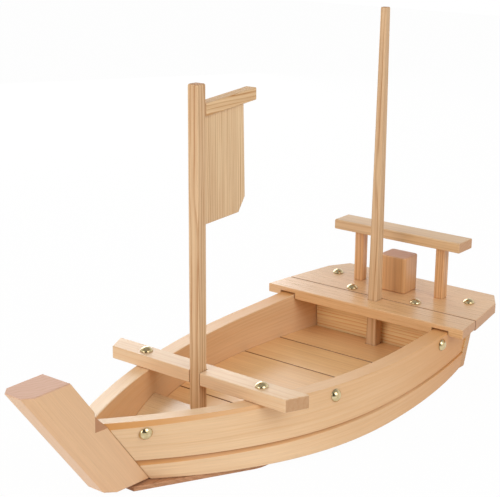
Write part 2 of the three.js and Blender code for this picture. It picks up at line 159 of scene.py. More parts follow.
@dataclass(frozen=True)
class FirFinish:
    """Planed and waxed fir: pale early wood, thin darker late wood and fine fibres along the grain.

    Lengths are across the grain, or along it where they say so. Real fibres are a tenth as wide as
    these, which are drawn as coarse as they need to show. A spread is a gain and an offset on a noise
    that runs from 0 to 1, and ring_stops are places across one ring with their share of late wood.
    """

    name: str
    slot: str
    early: str
    late: str
    end: str = "BF8E68"
    # Brown for bevels and cut faces, also painted as shade on the planks.
    brown_and_shade: str = "A86B3C"
    # Dark for seams, also painted as shade in the gaps and in the planks' groove.
    seam: str = "6E2C04"
    ring_mm: float = 3.6
    ring_stops: tuple[Pair, ...] = ((0.25, 0.0), (0.62, 0.22), (0.86, 1.0), (0.99, 0.05))
    contrast: float = 0.26
    fibre_mm: float = 0.5
    fibre_length_mm: float = 28.0
    fibre_break: Pair = (1.5, -0.25)
    fibre_fleck: Pair = (0.32, 0.84)
    streak_mm: float = 1.7
    streak_length_mm: float = 120.0
    streak_depth: float = 0.5
    streak_spread: Pair = (2.0, -0.8)
    drift_mm: float = 3.0
    drift_width_mm: float = 22.0
    drift_length_mm: float = 150.0
    swell_rings: float = 1.6
    swell_mm: float = 9.0
    swell_length_mm: float = 900.0
    patch_mm: float = 34.0
    patch_length_mm: float = 170.0
    patch_depth: float = 0.3
    patch_spread: Pair = (2.0, -0.65)
    patch_fade: Pair = (2.2, -0.1)
    noise_roughness: float = 0.55
    pore_depth: float = 0.3
    end_cover: float = 0.75
    brown_and_shade_cover: float = 0.8
    seam_and_shade_cover: float = 0.9
    relief_mm: float = 0.035
    relief_strength: float = 0.5
    relief_fibre: float = 0.6
    roughness: float = 0.36
    roughness_spread: float = 0.2
    end_dullness: float = 0.25
    wax: float = 0.6
    ior: float = 1.5

    def material(self) -> bpy.types.Material:
        """Makes the material.

        The growth rings are circles about the log's heart, which lies beside the board along the
        grain. Each ring goes slowly from early to late wood and ends sharply. Rings are bent by a
        slow drift, swell and narrow, fade in and out with broad patches, and lie among finer streaks
        and fibres. Ends of the grain are duller and pinker. Bevels and cut faces are browner, and the
        same brown is painted as shade on the planks towards the stern and in the hold. Seams are dark,
        partly as dirt and partly as painted shade in the gaps, and the same dark is painted as shade
        in the crease of the planks' groove.

        Returns:
            The finished material.
        """
        made = bpy.data.materials.new(self.name)
        made.use_nodes = True
        tree = made.node_tree
        shader = tree.nodes["Principled BSDF"]
        grain = add_node(tree, "ShaderNodeAttribute", out="Vector", attribute_name="grain")
        end, brown_and_shade, seam = (add_node(tree, "ShaderNodeAttribute", out="Fac", attribute_name=key)
                           for key in ("end_grain", "brown_and_shade", "seam"))
        clouds = []
        for along, across, detail in (
            (self.drift_length_mm, self.drift_width_mm, 2.0),
            (self.swell_length_mm, self.swell_mm, 1.0),
            (self.fibre_length_mm, self.fibre_mm, 3.0),
            (self.streak_length_mm, self.streak_mm, 3.0),
            (self.patch_length_mm, self.patch_mm, 2.0),
        ):
            scale = (1 / along, 1 / across, 1 / across)
            moved = add_node(tree, "ShaderNodeVectorMath", {0: grain, 1: scale}, operation="MULTIPLY")
            links = {"Vector": moved, "Scale": 1.0, "Detail": detail, "Roughness": self.noise_roughness}
            clouds.append(add_node(tree, "ShaderNodeTexNoise", links, "Fac"))
        drift, swell, fibre, streak, patch = clouds

        level = add_node(tree, "ShaderNodeVectorMath", {0: grain, 1: (0.0, 1.0, 1.0)}, operation="MULTIPLY")
        heart = add_node(tree, "ShaderNodeVectorMath", {0: level}, "Value", operation="LENGTH")
        bent = add_node(tree, "ShaderNodeMath", {0: drift, 1: 2 * self.drift_mm, 2: heart},
                        operation="MULTIPLY_ADD")
        uneven = add_node(tree, "ShaderNodeMath", {0: swell, 1: self.swell_rings * self.ring_mm, 2: bent},
                          operation="MULTIPLY_ADD")
        rings = add_node(tree, "ShaderNodeMath", {0: uneven, 1: self.ring_mm}, operation="DIVIDE")
        ring = add_node(tree, "ShaderNodeMath", {0: rings}, operation="FRACT")
        late = add_node(tree, "ShaderNodeValToRGB", {0: ring})
        ramp = late.node.color_ramp.elements
        ramp[0].position, ramp[1].position = self.ring_stops[0][0], self.ring_stops[-1][0]
        for place, _ in self.ring_stops[1:-1]:
            ramp.new(place)
        for stop, (_, grey) in zip(ramp, self.ring_stops):
            stop.color = (grey, grey, grey, 1.0)

        broken, fade, runs, shade, fleck = (
            add_node(tree, "ShaderNodeMath", {0: cloud, 1: gain * depth, 2: offset * depth},
                     operation="MULTIPLY_ADD")
            for cloud, depth, (gain, offset) in (
                (fibre, 1.0, self.fibre_break),
                (patch, self.contrast, self.patch_fade),
                (streak, self.streak_depth, self.streak_spread),
                (patch, self.patch_depth, self.patch_spread),
                (fibre, 1.0, self.fibre_fleck),
            )
        )
        line = add_node(tree, "ShaderNodeMath", {0: late, 1: fade}, operation="MULTIPLY")
        lines = add_node(tree, "ShaderNodeMath", {0: line, 1: broken}, operation="MULTIPLY")
        share = add_node(tree, "ShaderNodeMath", {0: lines, 1: runs}, operation="ADD", use_clamp=True)
        wood = add_node(tree, "ShaderNodeMix", {0: share, 6: linear(self.early), 7: linear(self.late)}, 2,
                        data_type="RGBA")
        wood = add_node(tree, "ShaderNodeMix", {0: shade, 6: wood, 7: linear(self.late)}, 2, data_type="RGBA")
        wood = add_node(tree, "ShaderNodeMix", {0: 1.0, 6: wood, 7: fleck}, 2, data_type="RGBA",
                        blend_type="MULTIPLY")
        pores = add_node(tree, "ShaderNodeMath", {0: late, 1: self.pore_depth}, operation="MULTIPLY")
        cut = add_node(tree, "ShaderNodeMix", {0: pores, 6: linear(self.end), 7: linear(self.brown_and_shade)}, 2,
                       data_type="RGBA")
        for mask, cover, tone in (
            (end, self.end_cover, cut),
            (brown_and_shade, self.brown_and_shade_cover, linear(self.brown_and_shade)),
            (seam, self.seam_and_shade_cover, linear(self.seam)),
        ):
            reach = add_node(tree, "ShaderNodeMath", {0: mask, 1: cover}, operation="MULTIPLY")
            wood = add_node(tree, "ShaderNodeMix", {0: reach, 6: wood, 7: tone}, 2, data_type="RGBA")

        height = add_node(tree, "ShaderNodeMath", {0: fibre, 1: self.relief_fibre, 2: late},
                          operation="MULTIPLY_ADD")
        links = {"Height": height, "Strength": self.relief_strength, "Distance": self.relief_mm * MM}
        bump = add_node(tree, "ShaderNodeBump", links)
        links = {0: fibre, 1: self.roughness_spread, 2: self.roughness - self.roughness_spread / 2}
        gloss = add_node(tree, "ShaderNodeMath", links, operation="MULTIPLY_ADD")
        dull = add_node(tree, "ShaderNodeMath", {0: end, 1: self.end_dullness, 2: gloss},
                        operation="MULTIPLY_ADD")
        tree.links.new(wood, shader.inputs["Base Color"])
        tree.links.new(dull, shader.inputs["Roughness"])
        tree.links.new(bump, shader.inputs["Normal"])
        shader.inputs["IOR"].default_value = self.ior
        shader.inputs["Specular IOR Level"].default_value = self.wax
        return made


@dataclass(frozen=True)
class BrassFinish:
    """Stamped brass under lacquer, bright on the dome and dulled in patches by handling."""

    name: str = "lacquered brass"
    slot: str = "brass"
    bright: str = "EEDDB4"
    bloom: str = "A68D5A"
    bloom_mm: float = 3.0
    roughness: float = 0.17
    roughness_spread: float = 0.14

    def material(self) -> bpy.types.Material:
        """Makes the material: two brass tones and a gloss that follow a soft noise.

        Returns:
            The finished material.
        """
        made = bpy.data.materials.new(self.name)
        made.use_nodes = True
        tree = made.node_tree
        shader = tree.nodes["Principled BSDF"]
        place = add_node(tree, "ShaderNodeTexCoord", out="Object")
        links = {"Vector": place, "Scale": 1 / (self.bloom_mm * MM), "Detail": 3.0}
        cloud = add_node(tree, "ShaderNodeTexNoise", links, "Fac")
        links = {0: cloud, 6: linear(self.bright), 7: linear(self.bloom)}
        colour = add_node(tree, "ShaderNodeMix", links, 2, data_type="RGBA")
        links = {0: cloud, 1: self.roughness_spread, 2: self.roughness - self.roughness_spread / 2}
        gloss = add_node(tree, "ShaderNodeMath", links, operation="MULTIPLY_ADD")
        tree.links.new(colour, shader.inputs["Base Color"])
        tree.links.new(gloss, shader.inputs["Roughness"])
        shader.inputs["Metallic"].default_value = 1.0
        return made


# Flat-sawn fir planed by machine, on the thwart: pale straw wood with soft lines under a thin wax.
PALE_FIR = FirFinish("planed fir, pale", "pale_fir", "EACAA5", "CC985E", "B08058", wax=0.25)
# The same wood on the side planks, sanded less finely: a broad, dull light. Its brown is also
# painted as shade towards the stern and in the hold.
PLANK_FIR = FirFinish("planed fir, side planks", "pale_fir", "F1D1AA", "CF9A5E", brown_and_shade="CD8426",
                      contrast=0.22, streak_depth=0.32, roughness=0.45, wax=0.4)
# A wide piece cut near the bark: an even tan with hardly any lines.
PROW_FIR = FirFinish("planed fir, prow", "pale_fir", "E2B78B", "C28C56", "CFA18C", contrast=0.1,
                     patch_depth=0.2, streak_depth=0.13, wax=0.75)
# Deck boards with the oil of hands in them: deeper orange and a clear sheen.
DECK_FIR = FirFinish("planed fir, deck", "pale_fir", "E4B886", "BF8448", contrast=0.2, streak_depth=0.27,
                     roughness=0.29, wax=0.85)
# The rail: pale heart-side wood with clear lines.
RAIL_FIR = FirFinish("planed fir, rail", "pale_fir", "E0BC8E", "B8844C", ring_mm=3.0, contrast=0.5,
                     wax=0.85)
# Floor boards from warmer wood with wide rings, painted lighter to stand in for the light that
# bounces round the hold.
FLOOR_FIR = FirFinish("planed fir, floor boards", "warm_fir", "F5CA92", "CB904F", ring_mm=5.0,
                      roughness=0.32, wax=0.72)
# Quarter-sawn stern board: close dark lines along it, on a pale colour that is partly painted
# light, for the light that reaches it in the shade under the deck.
STERN_FIR = FirFinish("planed fir, stern board", "warm_fir", "FFE6AE", "DC964E", ring_mm=2.7, contrast=1.1)
# Heartwood of the block, browner all through.
BLOCK_FIR = FirFinish("planed fir, block", "warm_fir", "DDAB74", "AC7040", "DEB8A6", contrast=0.35, wax=0.8)
# Heartwood for the board under the boat: a dull red brown, darker than the other boards.
BOARD_FIR = FirFinish("planed fir, bottom board", "warm_fir", "CB9A74", "8F5B3A", "9C6E50", ring_mm=2.8,
                      contrast=0.7, roughness=0.5, wax=0.3)
# The palest sapwood, on the bow board, well waxed: smooth and shiny.
BOW_FIR = FirFinish("planed fir, bow board", "pale_fir", "F0D4A6", "CF9E5C", contrast=0.2, roughness=0.3,
                    wax=0.9)
# Quarter-sawn sticks: straight dark lines.
MAST_FIR = FirFinish("planed fir, sticks", "mast_fir", "E2C198", "A66D38", ring_mm=2.4, contrast=1.3,
                     roughness=0.44, wax=0.4)
# The yard: close lines in pale, almost unwaxed wood.
YARD_FIR = FirFinish("planed fir, yard", "mast_fir", "EDCDA2", "B27B47", ring_mm=1.2, contrast=1.0,
                     roughness=0.6, wax=0.12)
# The sail: fine lines in pale wood.
SAIL_FIR = FirFinish("planed fir, sail", "mast_fir", "EACB9F", "AC743C", ring_mm=1.9, contrast=1.3)
# Rail posts from the reddest wood.
POST_FIR = FirFinish("planed fir, posts", "mast_fir", "EABB87", "AC6B33", ring_mm=2.6, contrast=1.0)
# Polished tack heads: a pale yellow mirror with a faint bloom.
BRASS = BrassFinish()


@dataclass
class Surface:
    """A closed surface with the place of each point in the log that its board was sawn from.

    Where it has no normals of its own, its large faces shade flat and its edges sharp. End grain,
    brown wood with painted shade, and dark seams with painted shade are shares from 0 to 1, for
    each point or for all of them.
    """

    points: Array
    faces: list[Face]
    normals: Array | None
    grain: Array
    end_grain: Array | float = 0.0
    brown_and_shade: Array | float = 0.0
    seam: Array | float = 0.0

    def mirrored(self) -> Surface:
        """The same surface on the other side of the centre plane, still facing out.

        Returns:
            The mirrored surface.
        """
        flip = np.array([1.0, -1.0, 1.0])
        faces = [face[::-1] for face in self.faces]
        return replace(self, points=self.points * flip, faces=faces, normals=self.normals * flip)


class Workshop:
    """Makes pieces out of surfaces, each with its finish, and reports them."""

    def __init__(self) -> None:
        """Starts with no material made."""
        self.made: dict[str, bpy.types.Material] = {}

    def finish(self, look: FirFinish | BrassFinish) -> bpy.types.Material:
        """The look's material, made at its first use.

        Args:
            look: The finish.

        Returns:
            Its material.
        """
        if look.name not in self.made:
            self.made[look.name] = look.material()
        return self.made[look.name]

    def piece(self, name: str, surface: Surface, look: FirFinish | BrassFinish, body: str,
              *nodes: str) -> None:
        """Makes an object from a surface and joins it to the frame.

        Args:
            name: The piece's name.
            surface: Its shape in millimetres.
            look: Its finish.
            body: The body that it moves with.
            *nodes: The nodes that it stands for.
        """
        mesh = bpy.data.meshes.new(name)
        mesh.from_pydata((surface.points * MM).tolist(), [], surface.faces)
        count = len(surface.points)
        layer = mesh.attributes.new("grain", "FLOAT_VECTOR", "POINT")
        layer.data.foreach_set("vector", surface.grain.astype(np.float32).ravel())
        for key in ("end_grain", "brown_and_shade", "seam"):
            layer = mesh.attributes.new(key, "FLOAT", "POINT")
            layer.data.foreach_set("value", np.full(count, getattr(surface, key), np.float32))
        mesh.shade_smooth()
        mesh.materials.append(self.finish(look))
        made = bpy.data.objects.new(name, mesh)
        bpy.context.scene.collection.objects.link(made)
        if surface.normals is None:
            mesh.set_sharp_from_angle(angle=np.radians(SHARP_EDGE_DEG))
            facing = made.modifiers.new("flat faces shade flat", "WEIGHTED_NORMAL")
            facing.weight = FLAT_WEIGHT
            facing.keep_sharp = True
        else:
            mesh.normals_split_custom_set_from_vertices(surface.normals.tolist())
        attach(made, body)
        if nodes:
            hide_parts(*nodes)
        LOG.info("%s: %d points, %s", name, count, look.name)


def oblong(low: Array, high: Array, first: int = 0, second: int = 1) -> list[Pair]:
    """The corners of a box seen across two of its axes, counter-clockwise.

    Args:
        low: The box's lowest corner.
        high: Its highest corner.
        first: The axis drawn to the right.
        second: The axis drawn upwards.

    Returns:
        The four corners.
    """
    left, right, foot, top = low[first], high[first], low[second], high[second]
    return [(left, foot), (right, foot), (right, top), (left, top)]


def rounded(corners: Sequence[Pair], radius: float | Sequence[float], steps: int = ARC_STEPS) -> Array:
    """Rounds the corners of an outline with arcs.

    An arc touches both edges of its corner, at the radius over the tangent of half the corner's
    angle from it, and its centre is on the line that halves the corner.

    Args:
        corners: The outline's corners in order, no three in line.
        radius: One radius, or one for each corner.
        steps: Lines in each arc.

    Returns:
        The rounded outline.
    """
    points = np.asarray(corners, float)
    radii = np.broadcast_to(np.asarray(radius, float), len(points))[:, None]
    back = np.roll(points, 1, axis=0) - points
    back /= np.linalg.norm(back, axis=1, keepdims=True)
    ahead = np.roll(points, -1, axis=0) - points
    ahead /= np.linalg.norm(ahead, axis=1, keepdims=True)
    half = 0.5 * np.arccos(np.clip((back * ahead).sum(1, keepdims=True), -1, 1))
    middle = back + ahead
    middle /= np.linalg.norm(middle, axis=1, keepdims=True)
    centre = points + middle * radii / np.sin(half)
    first = points + back * radii / np.tan(half) - centre
    last = points + ahead * radii / np.tan(half) - centre
    start = np.arctan2(first[:, 1], first[:, 0])[:, None]
    turn = np.arctan2(last[:, 1], last[:, 0])[:, None] - start
    turn = (turn + np.pi) % (2 * np.pi) - np.pi
    angle = start + turn * np.linspace(0, 1, steps + 1)
    arcs = centre[:, None] + radii[:, None] * np.stack([np.cos(angle), np.sin(angle)], axis=-1)
    return arcs.reshape(-1, 2)


def quarter_round(ease: float, steps: int = ROUND_STEPS) -> tuple[Array, Array, Array]:
    """The round from a board's face to its edge.

    Over an angle that runs to 90 degrees, the edge is drawn in by the ease less the ease times its
    sine, and lies below the face by the ease less the ease times its cosine.

    Args:
        ease: The radius.
        steps: Lines in the round.

    Returns:
        The angles, how far each line is drawn in and how far it lies from the face.
    """
    angle = np.linspace(0, np.pi / 2, steps + 1)
    return angle, ease * (1 - np.sin(angle)), ease * (1 - np.cos(angle))


def ring_faces(rows: int, count: int, first: int = 0) -> list[Face]:
    """Joins rows of count points, each a closed ring, by four-sided faces.

    Args:
        rows: Number of rings.
        count: Points in each ring.
        first: Number of the first point.

    Returns:
        The faces, as tuples of point numbers.
    """
    row, point = np.meshgrid(np.arange(rows - 1), np.arange(count), indexing="ij")
    after = (point + 1) % count
    corners = [row * count + point, row * count + after, (row + 1) * count + after, (row + 1) * count + point]
    return list(map(tuple, (first + np.stack(corners, axis=-1)).reshape(-1, 4).tolist()))


def filled(loops: list[Array], numbers: Array, upwards: bool) -> list[Face]:
    """Fills a flat outline, with holes or without, by triangles that all face one way.

    Args:
        loops: The outline and its holes.
        numbers: The point numbers of all the loops in turn.
        upwards: Whether the triangles run counter-clockwise.

    Returns:
        The triangles, as tuples of point numbers.
    """
    triangles = np.array(tessellate_polygon([np.c_[loop, np.zeros(len(loop))].tolist() for loop in loops]))
    flat = np.concatenate(loops)
    one, two, three = (flat[triangles[:, i]] for i in range(3))
    area = (two - one)[:, 0] * (three - one)[:, 1] - (two - one)[:, 1] * (three - one)[:, 0]
    wrong = (area > 0) != upwards
    triangles[wrong] = triangles[wrong][:, ::-1]
    return list(map(tuple, numbers[triangles].tolist()))


def tube_faces(rings: Array) -> list[Face]:
    """Joins rings of points to a tube and fills its two ends.

    Args:
        rings: The rings as drawn on a plane, by row, point and axis.

    Returns:
        The faces, as tuples of point numbers.
    """
    rows, count = rings.shape[:2]
    numbers = np.arange(count)
    first_end = filled([rings[0]], numbers, False)
    last_end = filled([rings[-1]], numbers + (rows - 1) * count, True)
    return ring_faces(rows, count) + first_end + last_end


@dataclass(frozen=True)
class Log:
    """Where a board lay in its log: how far from the heart, at what angle and how far along."""

    grain: Grain
    distance: float = 90.0
    angle: float = 40.0
    along: float = 0.0

    def middle(self) -> Array:
        """The middle of the board, measured from the heart at the foot of the log."""
        lean = np.radians(self.angle)
        return np.array([self.along, self.distance * np.cos(lean), self.distance * np.sin(lean)])

    def coordinates(self, points: Array) -> Array:
        """Places in the log: along the grain, then two lengths from the heart across it.

        Args:
            points: Points in the boat's frame.

        Returns:
            One place for each point, in millimetres.
        """
        axis = self.grain.value
        turned = points[:, [axis, (axis + 1) % 3, (axis + 2) % 3]]
        centre = 0.5 * (turned.min(0) + turned.max(0))
        return turned - np.array([0.0, centre[1], centre[2]]) + self.middle()


@dataclass(frozen=True)
class Board:
    """A board cut to an outline, with its edges eased by a quarter round at both faces.

    The two turns are how far a face has to look along an axis before it counts as end grain or as
    a seam, and over what further share it comes to count in full.
    """

    loops: list[Array]
    low: float
    high: float
    lay: Lay
    log: Log
    ease: float = 0.7
    steps: int = ROUND_STEPS
    seams: tuple[int, ...] = ()
    end_turn: Pair = (0.6, 0.35)
    seam_turn: Pair = (0.3, 0.4)

    def surface(self, place: Callable[[Array], Array] | None = None, lean: float = 0.0) -> Surface:
        """Builds the board.

        Each loop is drawn at several levels, and drawn in near a face by the quarter round. A
        point's normal leans from the face to the outline by the round's angle, and the outline's
        normal there follows the longer of its two edges. Edges that face along X with a sign in
        seams lie against another board and are darkened as a seam, partly as dirt in the joint and
        partly as painted shade in the gap.

        Args:
            place: A function that moves the points once they lie in the boat's frame.
            lean: How far that function moves a point along X for each step up.

        Returns:
            The closed surface.
        """
        angle, inset, rise = quarter_round(self.ease, self.steps)
        insets = np.concatenate([inset, inset[::-1]])
        levels = np.concatenate([self.low + rise, self.high - rise[::-1]])
        outward = np.concatenate([np.sin(angle), np.sin(angle)[::-1]])
        upward = np.concatenate([-np.cos(angle), np.cos(angle)[::-1]])
        points, normals, faces, bottom, top, inner = [], [], [], [], [], []
        first = 0
        for loop in self.loops:
            edge = np.roll(loop, -1, axis=0) - loop
            length = np.linalg.norm(edge, axis=1, keepdims=True)
            out = np.stack([edge[:, 1], -edge[:, 0]], axis=1) / length
            before = np.roll(out, 1, axis=0)
            mitre = (out + before) / (1 + (out * before).sum(1, keepdims=True))
            facing = out * length**2 + before * np.roll(length, 1, axis=0)**2
            facing /= np.linalg.norm(facing, axis=1, keepdims=True)
            count = len(loop)
            flat = loop[None] - insets[:, None, None] * mitre[None]
            height = np.broadcast_to(levels[:, None, None], (len(levels), count, 1))
            points.append(np.concatenate([flat, height], axis=2).reshape(-1, 3))
            tilt = np.broadcast_to(upward[:, None, None], (len(levels), count, 1))
            turned = outward[:, None, None] * facing[None]
            normals.append(np.concatenate([turned, tilt], axis=2).reshape(-1, 3))
            faces += ring_faces(len(levels), count, first)
            inner.append(flat[0])
            bottom.append(first + np.arange(count))
            top.append(first + count * (len(levels) - 1) + np.arange(count))
            first += count * len(levels)
        faces += filled(inner, np.concatenate(bottom), False)
        faces += filled(inner, np.concatenate(top), True)
        turn = np.array(self.lay.value, float)
        local = np.concatenate(points) @ turn.T
        normal = np.concatenate(normals) @ turn.T
        start, span = self.end_turn
        end_grain = np.clip((np.abs(normal[:, self.log.grain.value]) - start) / span, 0, 1)
        seam = np.zeros(len(local))
        start, span = self.seam_turn
        for sign in self.seams:
            seam = np.maximum(seam, np.clip((sign * normal[:, 0] - start) / span, 0, 1))
        normal[:, 2] -= lean * normal[:, 0]
        normal /= np.linalg.norm(normal, axis=1, keepdims=True)
        placed = local if place is None else place(local)
        return Surface(placed, faces, normal, self.log.coordinates(local), end_grain, seam=seam)


def corners_of(node: str) -> tuple[Array, Array]:
    """A node's lowest and highest corners in millimetres."""
    low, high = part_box(node)
    return np.array(low) / MM, np.array(high) / MM


@dataclass(frozen=True)
class LongEdge:
    """The plan of a plank's long edge: its widest place, and how it closes in from there."""

    half_beam: float
    beam_at: float
    stern_half: float
    power: float


@dataclass
class HullForm:
    """The form of the two side planks: straight lines between a bottom edge and a top edge."""

    bottom_length: float = 323.6
    side_height: float = 42.85
    sheer_low: float = 108.7
    sheer_rise: float = 14.0
    sheer_run: float = 258.0
    stern_rake: float = 4.0
    stem_half: float = 13.25
    top: LongEdge = LongEdge(87.6, 96.5, 86.0, 2.0)
    bottom: LongEdge = LongEdge(94.2, 119.6, 80.5, 2.35)
    foot: float = 4.0
    thickness: float = 14.4
    seat: float = 0.3
    search_rounds: int = 6
    start: float = field(init=False)
    top_length: float = field(init=False)

    def __post_init__(self) -> None:
        """Finds where the hull frame begins and how long the top edge is, from the plank node."""
        low, high = corners_of("port_side_plank")
        self.start = low[0] + self.stern_rake
        self.top_length = high[0] - self.start + self.seat

    def top_edge(self, x: Array) -> Array:
        """Height of the top edge: a parabola about its lowest place."""
        return self.foot + self.side_height + self.sheer_rise * ((x - self.sheer_low) / self.sheer_run) ** 2

    def half_breadth(self, x: Array, edge: LongEdge, stern: float, prow: float) -> Array:
        """Half breadth of an edge: a power curve from its widest place to the prow and the stern.

        Args:
            x: Places along the boat.
            edge: The edge's plan.
            stern: Where the edge ends at the stern.
            prow: Where it ends at the prow.

        Returns:
            The half breadths.
        """
        ahead = np.clip((x - edge.beam_at) / (prow - edge.beam_at), 0, 1) ** edge.power
        astern = np.clip((edge.beam_at - x) / (edge.beam_at - stern), 0, None) ** 2
        to_prow = (edge.half_beam - self.stem_half) * ahead
        to_stern = (edge.half_beam - edge.stern_half) * astern
        return edge.half_beam - to_prow - to_stern

    def top_x(self, along: Array) -> Array:
        """Where a station meets the top edge, for a share from 0 at the stern to 1 at the prow."""
        return -self.stern_rake + along * (self.top_length + self.stern_rake)

    def top_half(self, x: Array) -> Array:
        """Half breadth of the top edge."""
        return self.half_breadth(x, self.top, -self.stern_rake, self.top_length)

    def point(self, along: Array, level: Array) -> Array:
        """A point of the port hull on the straight line from the bottom edge to the top edge.

        Args:
            along: From 0 at the stern to 1 at the prow post.
            level: From 0 at the bottom edge to 1 at the top edge.

        Returns:
            The points in the boat's frame.
        """
        low_x, high_x = along * self.bottom_length, self.top_x(along)
        low_y = self.half_breadth(low_x, self.bottom, 0.0, self.bottom_length)
        low = np.stack([low_x + self.start, low_y, np.full_like(low_x, self.foot)], axis=-1)
        high = np.stack([high_x + self.start, self.top_half(high_x), self.top_edge(high_x)], axis=-1)
        return low + (high - low) * level[..., None]

    def inner_half(self, x: Array, z: float) -> Array:
        """Half breadth between the planks at a height, by closing in on the station there.

        Args:
            x: Places along the boat, in its frame.
            z: The height.

        Returns:
            The inner half breadths.
        """
        hull_x = x - self.start
        along = hull_x / self.bottom_length
        for _ in range(self.search_rounds):
            level = (z - self.foot) / (self.top_edge(self.top_x(along)) - self.foot)
            run = (1 - level) * self.bottom_length + level * (self.top_length + self.stern_rake)
            along = (hull_x + level * self.stern_rake) / run
        return self.point(along, level)[..., 1] - self.thickness - self.seat


@dataclass
class SidePlanks:
    """The two side planks, each with a groove along its outer face and bevels that grow forward.

    A tone is how brown or dark the wood is painted, from 0 to 1. The stern's tones are painted
    shade, where the planks turn away from the light, above and below the groove, each with the
    power by which it fades forward; the hold's are painted warm shade on the inner faces, at the
    stern and the prow. The groove's two tones, for the brown of its lower bevel and for the painted
    shade in its crease, each start with their first number at the stern and add the second towards
    the prow.
    """

    form: HullForm
    proud: float = 1.0
    groove: float = 14.6
    groove_depth: float = 2.2
    ledge: float = 0.4
    stern_bevels: Pair = (0.9, 1.2)
    prow_bevels: Pair = (4.0, 3.3)
    bevel_slope: float = 0.62
    bevel_start: float = 0.3
    bevel_power: float = 1.3
    corner_radii: tuple[float, ...] = (0.7, 1.0, 0.4, 0.1, 0.15, 0.25, 0.25, 0.7)
    stern_tones: tuple[Pair, Pair] = ((1.0, 1.7), (0.95, 1.8))
    hold_tone: Pair = (0.16, 0.7)
    groove_tone: Pair = (0.3, 0.6)
    crease_tone: Pair = (0.05, 0.5)
    outer_margin: float = 0.5
    inner_margin: float = 0.02
    centre_gap: float = 0.15
    stations: int = 120
    arc_steps: int = 3

    def profile(self, top_bevel: float, groove_bevel: float) -> Array:
        """The section of a plank: offset outwards and height, where the top edge is lowest.

        Args:
            top_bevel: Height of the bevel on the outer top edge.
            groove_bevel: Height of the bevel under the groove.

        Returns:
            The section with its corners eased.
        """
        top = self.form.side_height
        corners = {
            Corner.INNER_FOOT: (-self.form.thickness, 0.0),
            Corner.OUTER_FOOT: (self.proud, 0.0),
            Corner.BAND_TOP: (self.proud, self.groove - groove_bevel),
            Corner.GROOVE: (-self.groove_depth, self.groove),
            Corner.LEDGE: (0.0, self.groove + self.ledge),
            Corner.BEVEL_FOOT: (0.0, top - top_bevel),
            Corner.BEVEL_TOP: (-self.bevel_slope * top_bevel, top),
            Corner.INNER_TOP: (-self.form.thickness, top),
        }
        return rounded(list(corners.values()), self.corner_radii, self.arc_steps)

    def facet(self, corner: Corner) -> Array:
        """Marks the points of the section from the middle of one corner to the middle of the next.

        Args:
            corner: The first corner.

        Returns:
            One at those points and zero elsewhere.
        """
        arc = self.arc_steps + 1
        start = corner.value * arc + arc // 2
        mask = np.zeros(len(Corner) * arc)
        mask[start:start + arc] = 1.0
        return mask

    def surface(self, log: Log) -> Surface:
        """Carries the section along the hull, and blends the bevels from stern to prow.

        The normals are the cross product of the steps along the hull and around the section. The
        wood is browner on the bevels; towards the stern and in the hold it is darkened as painted
        shade, and the groove's crease is darkened as painted shade.

        Args:
            log: Where the plank lay in its log.

        Returns:
            The port plank.
        """
        form = self.form
        along = np.linspace(0, 1 - form.seat / form.top_length, self.stations)
        grown = np.clip((along - self.bevel_start) / (1 - self.bevel_start), 0, 1)[:, None]
        grown = grown**self.bevel_power
        share = grown[..., None]
        plain = self.profile(*self.stern_bevels)
        upper = self.profile(self.prow_bevels[0], self.stern_bevels[1]) - plain
        lower = self.profile(self.stern_bevels[0], self.prow_bevels[1]) - plain
        section = plain + share * upper + share**2 * lower
        offset, height = section[..., 0], section[..., 1]
        points = form.point(np.broadcast_to(along[:, None], offset.shape), height / form.side_height)
        points[..., 1] = np.maximum(points[..., 1] + offset, self.centre_gap)
        before, after = np.roll(points, 1, axis=1) - points, np.roll(points, -1, axis=1) - points
        around = after * np.linalg.norm(after, axis=2, keepdims=True)
        around -= before * np.linalg.norm(before, axis=2, keepdims=True)
        normals = np.cross(around, np.gradient(points, axis=0)).reshape(-1, 3)
        normals /= np.linalg.norm(normals, axis=1, keepdims=True)
        length = np.broadcast_to(along[:, None] * form.top_length, offset.shape)
        grain = np.stack([length, height, offset], axis=-1).reshape(-1, 3) + log.middle()

        start, gain = self.groove_tone
        brown_and_shade = grown * self.facet(Corner.BEVEL_FOOT) + (start + gain * grown) * self.facet(Corner.BAND_TOP)
        # Painted shade: the outer faces darken towards the stern, where the planks turn away from the light.
        aft = 1 - along[:, None]
        (above, above_power), (below, below_power) = self.stern_tones
        painted_stern_shade = np.where(height > self.groove, above * aft**above_power, below * aft**below_power)
        outside = offset > self.outer_margin - form.thickness
        inside = offset < self.inner_margin - form.thickness
        # Painted warm shade on the inner faces of the hold.
        hold = np.interp(along**2, [0, 1], self.hold_tone)[:, None]
        brown_and_shade = np.maximum(brown_and_shade, painted_stern_shade * outside) + hold * inside
        # Painted shade in the crease at the top of the groove, under the upper band's edge.
        crease = np.arange(section.shape[1]) // (self.arc_steps + 1) == Corner.GROOVE.value
        start, gain = self.crease_tone
        seam = (start + gain * grown) * crease
        return Surface(points.reshape(-1, 3), tube_faces(points[..., 1:]), normals, grain,
                       brown_and_shade=brown_and_shade.ravel(), seam=seam.ravel())

    def build(self, shop: Workshop) -> None:
        """Makes both planks.

        Args:
            shop: Makes the pieces.
        """
        port = self.surface(Log(Grain.X, 70.0, 12.0))
        shop.piece("port_plank", port, PLANK_FIR, "hull", "port_side_plank")
        other = self.surface(Log(Grain.X, 84.0, 24.0, 400.0)).mirrored()
        shop.piece("starboard_plank", other, PLANK_FIR, "hull", "starboard_side_plank")


